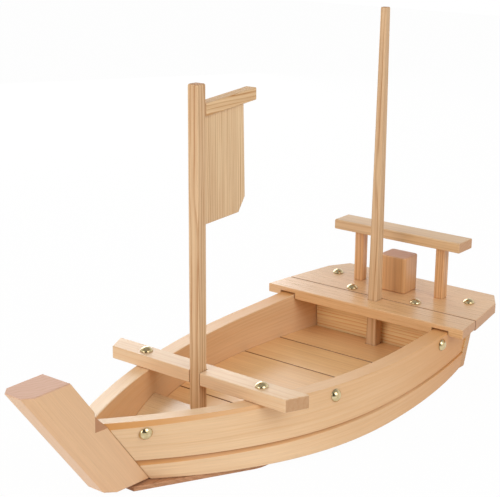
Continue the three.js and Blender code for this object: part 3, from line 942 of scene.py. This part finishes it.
@dataclass
class Backbone:
    """Prow post, bottom board and transom."""

    form: HullForm
    stem_length: float = 38.0
    stem_lean: float = 0.757
    stem_ease: float = 0.9
    rear_round: float = 1.0
    rear_bulge: float = 0.3
    rear_draw: float = 0.4
    shoulder_drop: float = 42.5
    shoulder_gap: float = 0.3
    shoulder_climb: float = 1.4
    stop_length: float = 11.5
    notch_depth: float = 5.0
    notch_least: Pair = (0.05, 0.02)
    notch_levels: int = 5
    notch_margin: float = 0.1
    bevel_slope: float = 0.62
    nose_half: float = 7.35
    nose_bevel: float = 6.8
    nose_round: float = 1.0
    toe_rise: float = 2.6
    board_nose_half: float = 12.0
    board_taper: float = 86.0
    board_shoulder_round: float = 30.0
    board_corner_round: float = 1.0
    board_ease: float = 0.5
    transom_cover: float = 7.4
    transom_tongue: float = 5.3
    transom_round: float = 0.6
    transom_ease: float = 0.3
    tongue_play: float = 0.05
    band_proud: float = 1.0

    def stem(self, shop: Workshop) -> None:
        """The prow post: a level section with a bevelled nose, leaning forward as it rises.

        The section is drawn at several heights, and drawn in by a quarter round at the first and last
        ones. The bevel of the planks' top edge runs on into its rear corners: above the shoulder a
        corner is cut in by the bevel's slope, up to its depth, and forward to an upright stop.

        Args:
            shop: Makes the piece.
        """
        low, high = corners_of("stem_post")
        half, nose, length = self.form.stem_half, self.nose_half, self.stem_length
        _, inset, rise = quarter_round(self.stem_ease)
        shoulder = high[2] - self.shoulder_drop
        cut = np.linspace(0, 1, self.notch_levels) * self.stop_length / self.stem_lean
        levels = np.concatenate([low[2] + rise, [shoulder - self.shoulder_gap], shoulder + cut,
                                 high[2] - rise[::-1]])
        insets = np.concatenate([inset, np.zeros(1 + len(cut)), inset[::-1]])
        climb = levels - shoulder
        notched = (climb > -self.notch_margin) & (climb < cut[-1] - self.notch_margin)
        reach = np.where(notched, self.stop_length - self.stem_lean * climb, self.rear_round)
        bend = np.where(notched, reach, self.rear_bulge)
        aft_least, fore_least = self.notch_least
        aft_cut = np.clip(self.bevel_slope * climb, aft_least, self.notch_depth)
        fore_cut = np.clip(self.bevel_slope * (climb - self.shoulder_climb), fore_least, self.notch_depth)
        aft = np.where(notched, aft_cut, self.rear_round)
        fore = np.where(notched, fore_cut, self.rear_bulge)
        port = np.stack([
            np.stack([reach, half - insets], axis=1),
            np.stack([bend, half - fore - insets], axis=1),
            np.stack([insets, half - aft - insets * self.rear_draw], axis=1),
        ], axis=1)
        nose_bend = length - self.nose_bevel
        corners = [(0.0, -half), (nose_bend, -half), (length, -nose), (length, nose), (nose_bend, half),
                   (0.0, half)]
        arc = ARC_STEPS + 1
        front = rounded(corners, self.nose_round)[arc:-arc]
        edge = np.gradient(front, axis=0)
        outward = np.stack([edge[:, 1], -edge[:, 0]], axis=1) / np.linalg.norm(edge, axis=1, keepdims=True)
        drawn = front[None] - insets[:, None, None] * outward[None]
        section = np.concatenate([port[:, ::-1] * [1.0, -1.0], drawn, port], axis=1)
        rows, count = section.shape[:2]
        height = np.broadcast_to(levels[:, None, None], (rows, count, 1))
        local = np.concatenate([section, height], axis=2).reshape(-1, 3)
        x, y, z = local.T
        share = (high[2] - z) / (high[2] - low[2])
        lifted = z + share * self.toe_rise * x / length
        points = np.stack([high[0] - length + x - self.stem_lean * (high[2] - lifted), y, lifted], axis=1)
        ends = np.repeat(np.clip(insets / self.stem_ease, 0, 1) ** END_FADE, count)
        corner = np.isin(np.arange(count), [0, 1, count - 2, count - 1])
        brown_and_shade = (notched[:, None] * corner[None]).astype(float).ravel()
        log = Log(Grain.Z, 42.0, 62.0)
        surface = Surface(points, tube_faces(section), None, log.coordinates(local), ends, brown_and_shade)
        shop.piece("prow_post", surface, PROW_FIR, "hull", "stem_post")

    def bottom(self, shop: Workshop) -> None:
        """The thin board that the boat stands on.

        Args:
            shop: Makes the piece.
        """
        low, high = corners_of("bottom_board")
        shoulder = high[0] - self.board_taper
        small, large = self.board_corner_round, self.board_shoulder_round
        outline = rounded([
            (low[0], low[1]),
            (shoulder, low[1]),
            (high[0], -self.board_nose_half),
            (high[0], self.board_nose_half),
            (shoulder, high[1]),
            (low[0], high[1]),
        ], [small, large, small, small, large, small])
        board = Board([outline], low[2], high[2], Lay.PLAN, Log(Grain.X, 60.0, 80.0), self.board_ease)
        shop.piece("bottom_plate", board.surface(), BOARD_FIR, "hull", "bottom_board")

    def transom(self, shop: Workshop) -> None:
        """The stern board in its two thicknesses, leaning aft with the ends of the planks.

        Args:
            shop: Makes the pieces.
        """
        form = self.form
        top = corners_of("transom")[1][2]
        lean = form.stern_rake / (form.top_edge(np.array(-form.stern_rake)) - form.foot)
        level = np.array([0.0, (top - form.foot) * lean / form.stern_rake])
        side = form.point(np.zeros(2), level)

        def raked(points: Array) -> Array:
            """Leans the board aft as it rises."""
            x, y, z = points.T
            return np.stack([x - lean * (z - form.foot), y, z], axis=1)

        for name, offset, start, end, nodes in (
            ("transom_cover", self.band_proud, -form.seat - self.transom_cover, -form.seat, ["transom"]),
            ("transom_tongue", -form.thickness - self.tongue_play, -form.seat, self.transom_tongue, []),
        ):
            (low_y, low_z), (high_y, high_z) = side[:, 1:] + np.array([offset, 0.0])
            corners = [(-low_y, low_z), (low_y, low_z), (high_y, high_z), (-high_y, high_z)]
            board = Board([rounded(corners, self.transom_round)], form.start + start, form.start + end,
                          Lay.CROSS, Log(Grain.Y, 60.0, 15.0, end), self.transom_ease)
            shop.piece(name, board.surface(raked, -lean), STERN_FIR, "hull", *nodes)

    def build(self, shop: Workshop) -> None:
        """Makes the three boards.

        Args:
            shop: Makes the pieces.
        """
        self.stem(shop)
        self.bottom(shop)
        self.transom(shop)


@dataclass
class Inside:
    """The floor boards and the bow platform, both cut to the planks' inner faces."""

    form: HullForm
    floor_count: int = 6
    floor_ease: float = 0.8
    platform_ease: float = 0.5
    socket_side: float = 10.7
    hole_side: float = 10.0
    hole_round: float = 0.4
    hole_steps: int = 2
    end_reach: float = 0.35
    least_half: Pair = (0.6, 0.3)
    half_seam: float = 0.4
    seam_bend: float = 8.0
    edge_points: int = 14

    def outline(self, low: Array, high: Array) -> Array:
        """An outline between two places along the boat that follows the inner faces.

        Args:
            low: The board's lowest corner.
            high: Its highest corner.

        Returns:
            The outline, counter-clockwise.
        """
        x = np.linspace(low[0], high[0], self.edge_points)
        half = np.maximum(self.form.inner_half(x, high[2]) + self.end_reach, self.least_half[0])
        port = np.stack([x, half], axis=1)[::-1]
        return np.concatenate([np.stack([x, -half], axis=1), port])

    def board(self, node: str, loops: list[Array], log: Log, ease: float) -> Surface:
        """A board whose ends slope with the planks from its upper to its lower face.

        A point's distance from the centre plane is scaled by the inner half breadth at its own
        height over that at the upper face. Its long edges lean out as they go down, by half the
        seam, so that two boards meet under the seam between them.

        Args:
            node: The node that it stands for.
            loops: Its outline and any opening.
            log: Where it lay in its log.
            ease: The round on its edges.

        Returns:
            The closed surface.
        """
        low, high = corners_of(node)

        def sloped(points: Array) -> Array:
            """Moves the points in or out with the planks.

            Args:
                points: The points of a board with upright edges.

            Returns:
                The moved points.
            """
            x, y, z = points.T
            upper = np.maximum(self.form.inner_half(x, high[2]), self.least_half[0])
            lower = np.maximum(self.form.inner_half(x, low[2]), self.least_half[1])
            share = (high[2] - z) / (high[2] - low[2])
            meet = np.clip((high[2] - ease - z) / (high[2] - low[2] - 2 * ease), 0, 1) * self.half_seam
            way = np.clip((2 * x - low[0] - high[0]) / (high[0] - low[0]) * self.seam_bend, -1, 1)
            narrow = 1 + share * (np.minimum(lower / upper, 1.0) - 1)
            return np.stack([x + meet * way, y * narrow, z], axis=1)

        # Each board's fore and aft edges are darkened as seams: partly dirt in the joints, partly painted
        # shade in the gaps.
        return Board(loops, low[2], high[2], Lay.PLAN, log, ease, seams=(1, -1)).surface(sloped)

    def opening(self, node: str, side: float) -> Array:
        """A square opening around a mast.

        Args:
            node: The mast's node.
            side: The opening's side.

        Returns:
            Its outline, clockwise.
        """
        low, high = corners_of(node)
        x = 0.5 * (low[0] + high[0])
        half = side / 2
        corners = [(x - half, -half), (x - half, half), (x + half, half), (x + half, -half)]
        return rounded(corners, self.hole_round, self.hole_steps)

    def build(self, shop: Workshop) -> None:
        """Makes the six floor boards, each from another place in the log, and the platform.

        Args:
            shop: Makes the pieces.
        """
        for number in range(1, self.floor_count + 1):
            node = f"floor_plank_{number}"
            loops = [self.outline(*corners_of(node))]
            if number == 1:
                loops.append(self.opening("rear_mast", self.socket_side))
            log = Log(Grain.Y, 40.0 + 9.0 * number, 15.0 + 47.0 * number % 70, 130.0 * number)
            floor = self.board(node, loops, log, self.floor_ease)
            shop.piece(f"floor_board_{number}", floor, FLOOR_FIR, "hull", node)
        loops = [self.outline(*corners_of("bow_platform")), self.opening("front_mast", self.hole_side)]
        platform = self.board("bow_platform", loops, Log(Grain.Y, 75.0, 66.0, 50.0), self.platform_ease)
        shop.piece("bow_board", platform, BOW_FIR, "hull", "bow_platform")


@dataclass
class Thwart:
    """The board across the planks that holds the fore mast in a notch."""

    end_slant: float = 8.5
    clearance: float = 0.4
    corner_round: float = 1.0
    mouth_round: float = 0.8
    notch_round: float = 0.3

    def build(self, shop: Workshop) -> None:
        """Makes the board.

        Args:
            shop: Makes the piece.
        """
        low, high = corners_of("thwart")
        mast_low, mast_high = corners_of("front_mast")
        notch = mast_high[1] + self.clearance
        deep = mast_low[0] - self.clearance
        front, rear = high[0], low[0]
        short = high[1] - self.end_slant
        corners = [(rear, -high[1]), (front, -short), (front, -notch), (deep, -notch)]
        radii = [self.corner_round, self.corner_round, self.mouth_round, self.notch_round]
        corners += [(x, -y) for x, y in corners[::-1]]
        board = Board([rounded(corners, radii + radii[::-1])], low[2], high[2], Lay.PLAN,
                      Log(Grain.Y, 55.0, 78.0))
        shop.piece("thwart_board", board.surface(), PALE_FIR, "hull", "thwart")


@dataclass
class SternDeck:
    """The deck beam and the rear deck, with the rail on its two posts and the block."""

    form: HullForm
    seam_half: float = 98.0
    clip_half: float = 89.6
    clip_length: float = 20.0
    aft_half: float = 78.0
    deck_round: float = 1.2
    deck_ease: float = 0.9
    beam_ease: float = 0.7
    beam_relief: float = 1.4
    mast_clearance: float = 0.4
    mast_half: float = 4.7
    seat_clearance: float = 1.3
    seat_headroom: float = 0.3
    step_run: float = 0.05
    slant_margin: float = 1.0
    rail_round: float = 1.1
    rail_ease: float = 0.9
    post_round: float = 1.5
    post_ease: float = 0.5
    block_round: float = 3.0
    block_ease: float = 1.3
    block_steps: tuple[int, int] = (6, 4)

    def beam(self, shop: Workshop) -> None:
        """The front deck board: a rounded oblong carried along Y.

        Its underside steps up over each plank and a little at the ends, and its rear face steps
        forward round the aft mast. Its ends slant, by the distance from the front face.

        Args:
            shop: Makes the piece.
        """
        low, high = corners_of("deck_beam")
        mast_low, mast_high = corners_of("rear_mast")
        form, step, ease = self.form, self.step_run, self.beam_ease
        front, rear, under = high[0], low[0], low[2]
        mast = self.mast_half + self.mast_clearance
        behind = 0.5 * (mast_low[0] + mast_high[0]) + mast
        plank = form.top_half(front - form.start)
        inner = plank - form.thickness - self.seat_clearance
        outer = plank + self.seat_clearance / 2
        seat = form.top_edge(rear - form.start) + self.seat_headroom
        relief = under + self.beam_relief
        _, draw, back = quarter_round(ease)
        stations = [
            (mast, behind, under, 0.0),
            (mast + step, rear, under, 0.0),
            (inner, rear, under, 0.0),
            (inner + step, rear, seat, 0.0),
            (outer, rear, seat, 0.0),
            (outer + step, rear, relief, 0.0),
            *((high[1] - drop, rear, relief, inset) for drop, inset in zip(back[::-1], draw[::-1])),
        ]
        port = np.array(stations)
        table = np.concatenate([port[::-1] * [-1.0, 1.0, 1.0, 1.0], port])
        section = np.array([
            rounded([(foot + inset, aft + inset), (high[2] - inset, aft + inset),
                     (high[2] - inset, front - inset), (foot + inset, front - inset)], ease, ROUND_STEPS)
            for _, aft, foot, inset in table
        ])
        x, z = section[..., 1], section[..., 0]
        slant = (high[1] - self.seam_half) * (front - x) / (front - rear)
        y = np.broadcast_to(table[:, :1], x.shape)
        y = np.where(np.abs(y) > outer + self.slant_margin, y - np.sign(y) * slant, y)
        points = np.stack([x, y, z], axis=-1).reshape(-1, 3)
        ends = np.repeat(np.clip(table[:, 3] / ease, 0, 1) ** END_FADE, section.shape[1])
        # The rear face, against the rear deck, is darkened as a seam: partly dirt in the joint, partly
        # painted shade in the gap.
        seam = np.clip((rear + ease - points[:, 0]) / ease, 0, 1)
        grain = Log(Grain.Y, 70.0, 70.0).coordinates(points)
        surface = Surface(points, tube_faces(section), None, grain, ends, seam=seam)
        shop.piece("deck_front_board", surface, DECK_FIR, "hull", "deck_beam")

    def rear(self, shop: Workshop) -> None:
        """The rear deck board, with its corners clipped.

        Args:
            shop: Makes the piece.
        """
        low, high = corners_of("rear_deck")
        clip = low[0] + self.clip_length
        corners = [(low[0], -self.aft_half), (clip, -self.clip_half), (high[0], -self.seam_half)]
        corners += [(x, -y) for x, y in corners[::-1]]
        # Its front edge, against the deck beam, is darkened as a seam: partly dirt in the joint, partly
        # painted shade in the gap.
        board = Board([rounded(corners, self.deck_round)], low[2], high[2], Lay.PLAN,
                      Log(Grain.Y, 95.0, 58.0, 300.0), self.deck_ease, seams=(1,))
        shop.piece("deck_rear_board", board.surface(), DECK_FIR, "hull", "rear_deck")

    def rail(self, shop: Workshop) -> None:
        """The rail bar, its posts and the block.

        Args:
            shop: Makes the pieces.
        """
        low, high = corners_of("stern_rail")
        outline = rounded(oblong(low, high, 0, 2), self.rail_round)
        board = Board([outline], -high[1], -low[1], Lay.SIDE, Log(Grain.Y, 50.0, 20.0), self.rail_ease)
        shop.piece("rail_bar", board.surface(), RAIL_FIR, "hull", "stern_rail")
        for side in Side:
            node = f"rail_post_{side.word}"
            low, high = corners_of(node)
            outline = rounded(oblong(low, high), self.post_round)
            log = Log(Grain.Z, 30.0, 90.0 + 30.0 * side.value, 70.0 * side.value)
            board = Board([outline], low[2], high[2], Lay.PLAN, log, self.post_ease)
            shop.piece(f"rail_leg_{side.word}", board.surface(), POST_FIR, "hull", node)
        low, high = corners_of("deck_block")
        corner_steps, edge_steps = self.block_steps
        outline = rounded(oblong(low, high), self.block_round, corner_steps)
        board = Board([outline], low[2], high[2], Lay.PLAN, Log(Grain.Z, 24.0, 35.0), self.block_ease,
                      edge_steps)
        shop.piece("deck_stand", board.surface(), BLOCK_FIR, "hull", "deck_block")

    def build(self, shop: Workshop) -> None:
        """Makes the deck and what stands on it.

        Args:
            shop: Makes the pieces.
        """
        self.beam(shop)
        self.rear(shop)
        self.rail(shop)


@dataclass
class Rigs:
    """The fore mast with its yard and sail, and the aft mast, which both lift out."""

    mast_round: float = 0.9
    mast_ease: float = 1.3
    aft_top_side: float = 5.9
    yard_rise: float = 4.6
    yard_height: float = 9.2
    yard_round: float = 0.7
    sail_head: float = 45.9
    sail_foot_rise: float = 1.6
    sail_clip: Pair = (7.5, 11.0)
    sail_round: float = 0.5
    sail_ease: float = 0.4

    def stick(self, shop: Workshop, name: str, node: str, body: str, top_side: float | None) -> None:
        """A square mast that may taper evenly to its top.

        Args:
            shop: Makes the piece.
            name: The piece's name.
            node: The node that it stands for.
            body: The body that it moves with.
            top_side: Its width at the top, where it tapers.
        """
        low, high = corners_of(node)
        middle = 0.5 * (low + high)

        def tapered(points: Array) -> Array:
            """Narrows the mast about its middle line as it rises.

            Args:
                points: The points of an even mast.

            Returns:
                The moved points.
            """
            share = (points[:, 2] - low[2]) / (high[2] - low[2])
            narrow = 1 - share * (1 - top_side / (high[0] - low[0]))
            flat = middle[:2] + (points[:, :2] - middle[:2]) * narrow[:, None]
            return np.concatenate([flat, points[:, 2:]], axis=1)

        outline = rounded(oblong(low, high), self.mast_round)
        # A higher mast comes from further out and further along in the log.
        log = Log(Grain.Z, 26.0 + high[2] / 12, 38.0, high[2])
        board = Board([outline], low[2], high[2], Lay.PLAN, log, self.mast_ease)
        shop.piece(name, board.surface(tapered if top_side else None), MAST_FIR, body, node)

    def sail(self, shop: Workshop) -> None:
        """The yard behind the fore mast and the board sail under it.

        Args:
            shop: Makes the pieces.
        """
        low, high = corners_of("sail_yard")
        outline = rounded([
            (low[0], high[2] - self.yard_height),
            (high[0], low[2]),
            (high[0], low[2] + self.yard_height),
            (low[0], high[2]),
        ], self.yard_round)
        slope = self.yard_rise / (high[0] - low[0])
        board = Board([outline], -high[1], -low[1], Lay.SIDE, Log(Grain.X, 44.0, 20.0))
        shop.piece("yard_bar", board.surface(), YARD_FIR, "fore_rig", "sail_yard")
        low, high = corners_of("sail_board")
        across, up = self.sail_clip
        foot = low[2] + self.sail_foot_rise
        outline = rounded([
            (high[0], low[2]),
            (high[0], high[2] - slope * self.sail_head),
            (high[0] - self.sail_head, high[2]),
            (low[0], foot + up),
            (low[0] + across, foot),
        ], self.sail_round)
        board = Board([outline], -high[1], -low[1], Lay.SIDE, Log(Grain.Z, 62.0, 8.0), self.sail_ease)
        shop.piece("sail_panel", board.surface(), SAIL_FIR, "fore_rig", "sail_board")

    def build(self, shop: Workshop) -> None:
        """Makes both rigs.

        Args:
            shop: Makes the pieces.
        """
        self.stick(shop, "fore_mast_stick", "front_mast", "fore_rig", None)
        self.stick(shop, "aft_mast_stick", "rear_mast", "aft_rig", self.aft_top_side)
        self.sail(shop)


@dataclass
class Tacks:
    """The brass dome tacks, each placed by the two ends of its node."""

    radius: float = 5.0
    rise: float = 3.2
    rim: float = 0.25
    rim_bend: float = 0.15
    under_share: float = 0.97
    pin_radius: float = 0.9
    pin_short: float = 0.15
    pole_radius: float = 0.02
    aside: Triple = (0.3, 0.2, 0.93)
    around: int = 48
    over: int = 14

    @staticmethod
    def ends(node: bpy.types.Object) -> tuple[Array, Array]:
        """The top of the dome and the tip of the pin: the two points that are furthest apart.

        Args:
            node: The tack's node.

        Returns:
            The top and the tip, in millimetres.
        """
        flat = np.empty(len(node.data.vertices) * 3, np.float32)
        node.data.vertices.foreach_get("co", flat)
        points = flat.reshape(-1, 3).astype(float) / MM
        gap = np.linalg.norm(points[:, None] - points[None], axis=2)
        one, two = np.unravel_index(gap.argmax(), gap.shape)
        middle = points.mean(0)
        near = np.linalg.norm(points[one] - middle) < np.linalg.norm(points[two] - middle)
        return (points[one], points[two]) if near else (points[two], points[one])

    def surface(self, top: Array, tip: Array) -> Surface:
        """Turns the tack's section about its pin: a pin, a flat rim and a cap of a sphere.

        The sphere's radius is half the sum of the cap's rise and the rim's radius squared over it.

        Args:
            top: The top of the dome.
            tip: The tip of the pin.

        Returns:
            The closed surface.
        """
        axis = top - tip
        length = np.linalg.norm(axis)
        axis /= length
        side = np.cross(axis, np.array(self.aside))
        side /= np.linalg.norm(side)
        other = np.cross(axis, side)
        head = length - self.rise
        cap = self.rise - self.rim
        ball = 0.5 * (cap + self.radius**2 / cap)
        bow = np.linspace(np.arcsin(self.radius / ball), 0, self.over + 1)[:-1]
        pin, pole = self.pin_radius, self.pole_radius
        reach = np.concatenate([[pole, pin, pin, self.radius * self.under_share, self.radius],
                                ball * np.sin(bow), [pole]])
        height = np.concatenate([[0.0, pin, head, head, head + self.rim_bend],
                                 length - ball * (1 - np.cos(bow)), [length]])
        angle = np.linspace(0, 2 * np.pi, self.around, endpoint=False)
        spoke = np.cos(angle)[:, None] * side + np.sin(angle)[:, None] * other
        points = (tip + height[:, None, None] * axis + reach[:, None, None] * spoke[None]).reshape(-1, 3)
        rows = len(reach)
        faces = ring_faces(rows, self.around)
        faces.append(tuple(range(self.around))[::-1])
        faces.append(tuple(range((rows - 1) * self.around, rows * self.around)))
        rise, run = np.gradient(height), np.gradient(reach)
        normals = rise[:, None, None] * spoke[None] - run[:, None, None] * axis
        normals = normals.reshape(-1, 3) / np.hypot(rise, run).repeat(self.around)[:, None]
        return Surface(points, faces, normals, points)

    def build(self, shop: Workshop, nodes: dict[str, bpy.types.Object]) -> None:
        """Makes one tack for each tack node.

        Args:
            shop: Makes the pieces.
            nodes: The frame's nodes by name.
        """
        for name in sorted(node for node in nodes if "_tack_" in node):
            top, tip = self.ends(nodes[name])
            tip = tip + (top - tip) * self.pin_short
            shop.piece(f"brass_{name}", self.surface(top, tip), BRASS, "hull", name)


@dataclass(frozen=True)
class Lamp:
    """A square soft light: where it stands and its side, in metres, its watts and its colour."""

    name: str
    place: Triple
    side: float
    watts: float
    tint: str = "FFFFFF"


@dataclass(frozen=True)
class DimPatch:
    """A dim part of the room: its direction, the cosines of its rim and its core, and its depth."""

    centre: Triple
    rim: float
    core: float
    depth: float


@dataclass
class Studio:
    """A pale floor, soft light from three sides and a camera on the port bow."""

    camera_mm: Triple = (721.2, 555.2, 408.5)
    azimuth: float = 37.954
    elevation: float = 16.451
    roll: float = 0.395
    lens: float = 88.945
    sensor: float = 36.0
    far_m: float = 50.0
    lamps: tuple[Lamp, ...] = (
        Lamp("key light", (1.6, -0.35, 0.64), 1.0, 10.5, "FFFBF7"),
        Lamp("fill light", (0.4, 1.6, 1.2), 1.2, 14.5),
        Lamp("sheen light", (-0.9, -1.35, 0.52), 1.2, 12.0),
    )
    aim_m: Triple = (0.0, 0.0, 0.08)
    world_strength: float = 0.5
    dims: tuple[DimPatch, ...] = (
        DimPatch((0.74, 0.58, 0.34), 0.74, 0.93, 0.9),
        DimPatch((0.0, 0.0, 1.0), 0.4, 0.85, 0.55),
    )
    floor_hex: str = "F4F2EF"
    floor_roughness: float = 0.9
    floor_glow: float = 0.975
    floor_size_mm: float = 6000.0

    @staticmethod
    def stand(name: str, data: bpy.types.ID, axes: Sequence[Array], place: Array) -> bpy.types.Object:
        """Stands a camera or a light in the scene.

        Args:
            name: The object's name.
            data: The camera or the light.
            axes: The ways that its own X, Y and Z point.
            place: Where it stands, in metres.

        Returns:
            The new object.
        """
        made = bpy.data.objects.new(name, data)
        bpy.context.scene.collection.objects.link(made)
        rows = np.column_stack([*axes, place]).tolist()
        made.matrix_world = Matrix([*rows, [0.0, 0.0, 0.0, 1.0]])
        return made

    def camera(self) -> None:
        """Aims a camera by its azimuth and elevation, then rolls it about its own axis."""
        turn, rise, roll = np.radians([self.azimuth, self.elevation, self.roll])
        back = np.array([np.cos(turn) * np.cos(rise), np.sin(turn) * np.cos(rise), np.sin(rise)])
        right = np.array([-np.sin(turn), np.cos(turn), 0.0])
        up = np.cross(back, right)
        across = np.cos(roll) * right + np.sin(roll) * up
        upright = -np.sin(roll) * right + np.cos(roll) * up
        data = bpy.data.cameras.new("camera")
        data.lens = self.lens
        data.sensor_width = self.sensor
        data.clip_end = self.far_m
        place = np.array(self.camera_mm) * MM
        bpy.context.scene.camera = self.stand("camera", data, (across, upright, back), place)

    def light(self, lamp: Lamp) -> None:
        """Adds a square soft light that faces the middle of the boat.

        Args:
            lamp: The light's place, size, power and colour.
        """
        data = bpy.data.lights.new(lamp.name, "AREA")
        data.size = lamp.side
        data.energy = lamp.watts
        data.color = linear(lamp.tint)[:3]
        place = np.array(lamp.place)
        back = place - np.array(self.aim_m)
        back /= np.linalg.norm(back)
        right = np.cross(np.array([0.0, 0.0, 1.0]), back)
        right /= np.linalg.norm(right)
        self.stand(lamp.name, data, (right, np.cross(back, right), back), place)

    @staticmethod
    def seen(tree: bpy.types.NodeTree) -> bpy.types.NodeSocket:
        """Tells rays that show a background to the eye from rays that light the boat.

        Args:
            tree: The node tree.

        Returns:
            One where a ray comes from the camera, a mirror or a glass, and zero elsewhere.
        """
        path = add_node(tree, "ShaderNodeLightPath").node.outputs
        seen = path["Is Camera Ray"]
        for kind in ("Is Glossy Ray", "Is Transmission Ray"):
            seen = add_node(tree, "ShaderNodeMath", {0: seen, 1: path[kind]}, operation="MAXIMUM")
        return seen

    def world(self) -> None:
        """An even world that lights softly and is white to the eye.

        Mirrors see a dark room in a cone before the boat's port bow, and a dim ceiling.
        """
        world = bpy.data.worlds.new("studio")
        bpy.context.scene.world = world
        world.use_nodes = True
        tree = world.node_tree
        back = tree.nodes["Background"]
        back.inputs["Color"].default_value = (1.0, 1.0, 1.0, 1.0)
        links = {0: self.seen(tree), 1: 1 - self.world_strength, 2: self.world_strength}
        strength = add_node(tree, "ShaderNodeMath", links, operation="MULTIPLY_ADD")
        way = add_node(tree, "ShaderNodeTexCoord", out="Generated")
        mirror = add_node(tree, "ShaderNodeLightPath", out="Is Glossy Ray")
        for dim in self.dims:
            facing = add_node(tree, "ShaderNodeVectorMath", {0: way, 1: dim.centre}, "Value",
                              operation="DOT_PRODUCT")
            links = {"Value": facing, "From Min": dim.rim, "From Max": dim.core, "To Min": 1.0,
                     "To Max": 1 - dim.depth}
            left = add_node(tree, "ShaderNodeMapRange", links, interpolation_type="SMOOTHSTEP")
            loss = add_node(tree, "ShaderNodeMath", {0: left, 1: -1.0}, operation="ADD")
            share = add_node(tree, "ShaderNodeMath", {0: mirror, 1: loss, 2: 1.0}, operation="MULTIPLY_ADD")
            strength = add_node(tree, "ShaderNodeMath", {0: strength, 1: share}, operation="MULTIPLY")
        tree.links.new(strength, back.inputs["Strength"])

    def floor(self) -> None:
        """A pale painted floor, white to the eye but for the boat's faint shadow."""
        half = self.floor_size_mm * MM / 2
        mesh = bpy.data.meshes.new("floor")
        corners = [(x, y, 0.0) for x, y in oblong(np.full(2, -half), np.full(2, half))]
        mesh.from_pydata(corners, [], [(0, 1, 2, 3)])
        paint = bpy.data.materials.new("pale painted floor")
        paint.use_nodes = True
        tree = paint.node_tree
        matt = tree.nodes["Principled BSDF"]
        matt.inputs["Base Color"].default_value = linear(self.floor_hex)
        matt.inputs["Roughness"].default_value = self.floor_roughness
        glow = add_node(tree, "ShaderNodeEmission", {"Strength": 1.0})
        links = {0: self.seen(tree), 1: self.floor_glow}
        share = add_node(tree, "ShaderNodeMath", links, operation="MULTIPLY")
        mixed = add_node(tree, "ShaderNodeMixShader", {0: share, 1: matt.outputs[0], 2: glow})
        tree.links.new(mixed, tree.nodes["Material Output"].inputs["Surface"])
        mesh.materials.append(paint)
        made = bpy.data.objects.new("floor", mesh)
        bpy.context.scene.collection.objects.link(made)

    def build(self) -> None:
        """Sets up the light, the floor and the camera."""
        bpy.context.scene.view_settings.view_transform = "Standard"
        self.world()
        self.floor()
        for lamp in self.lamps:
            self.light(lamp)
        self.camera()


def plain(box: Sequence[Sequence[float]]) -> list[list[float]]:
    """A box's two corners as plain lists."""
    return [[float(value) for value in corner] for corner in box]


def main() -> None:
    """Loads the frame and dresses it."""
    logging.basicConfig(level=logging.INFO, format="%(message)s")
    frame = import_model()
    Studio().build()
    shop = Workshop()
    form = HullForm()
    SidePlanks(form).build(shop)
    Backbone(form).build(shop)
    Inside(form).build(shop)
    Thwart().build(shop)
    SternDeck(form).build(shop)
    Rigs().build(shop)
    Tacks().build(shop, frame["nodes"])


if __name__ == "__main__":
    main()
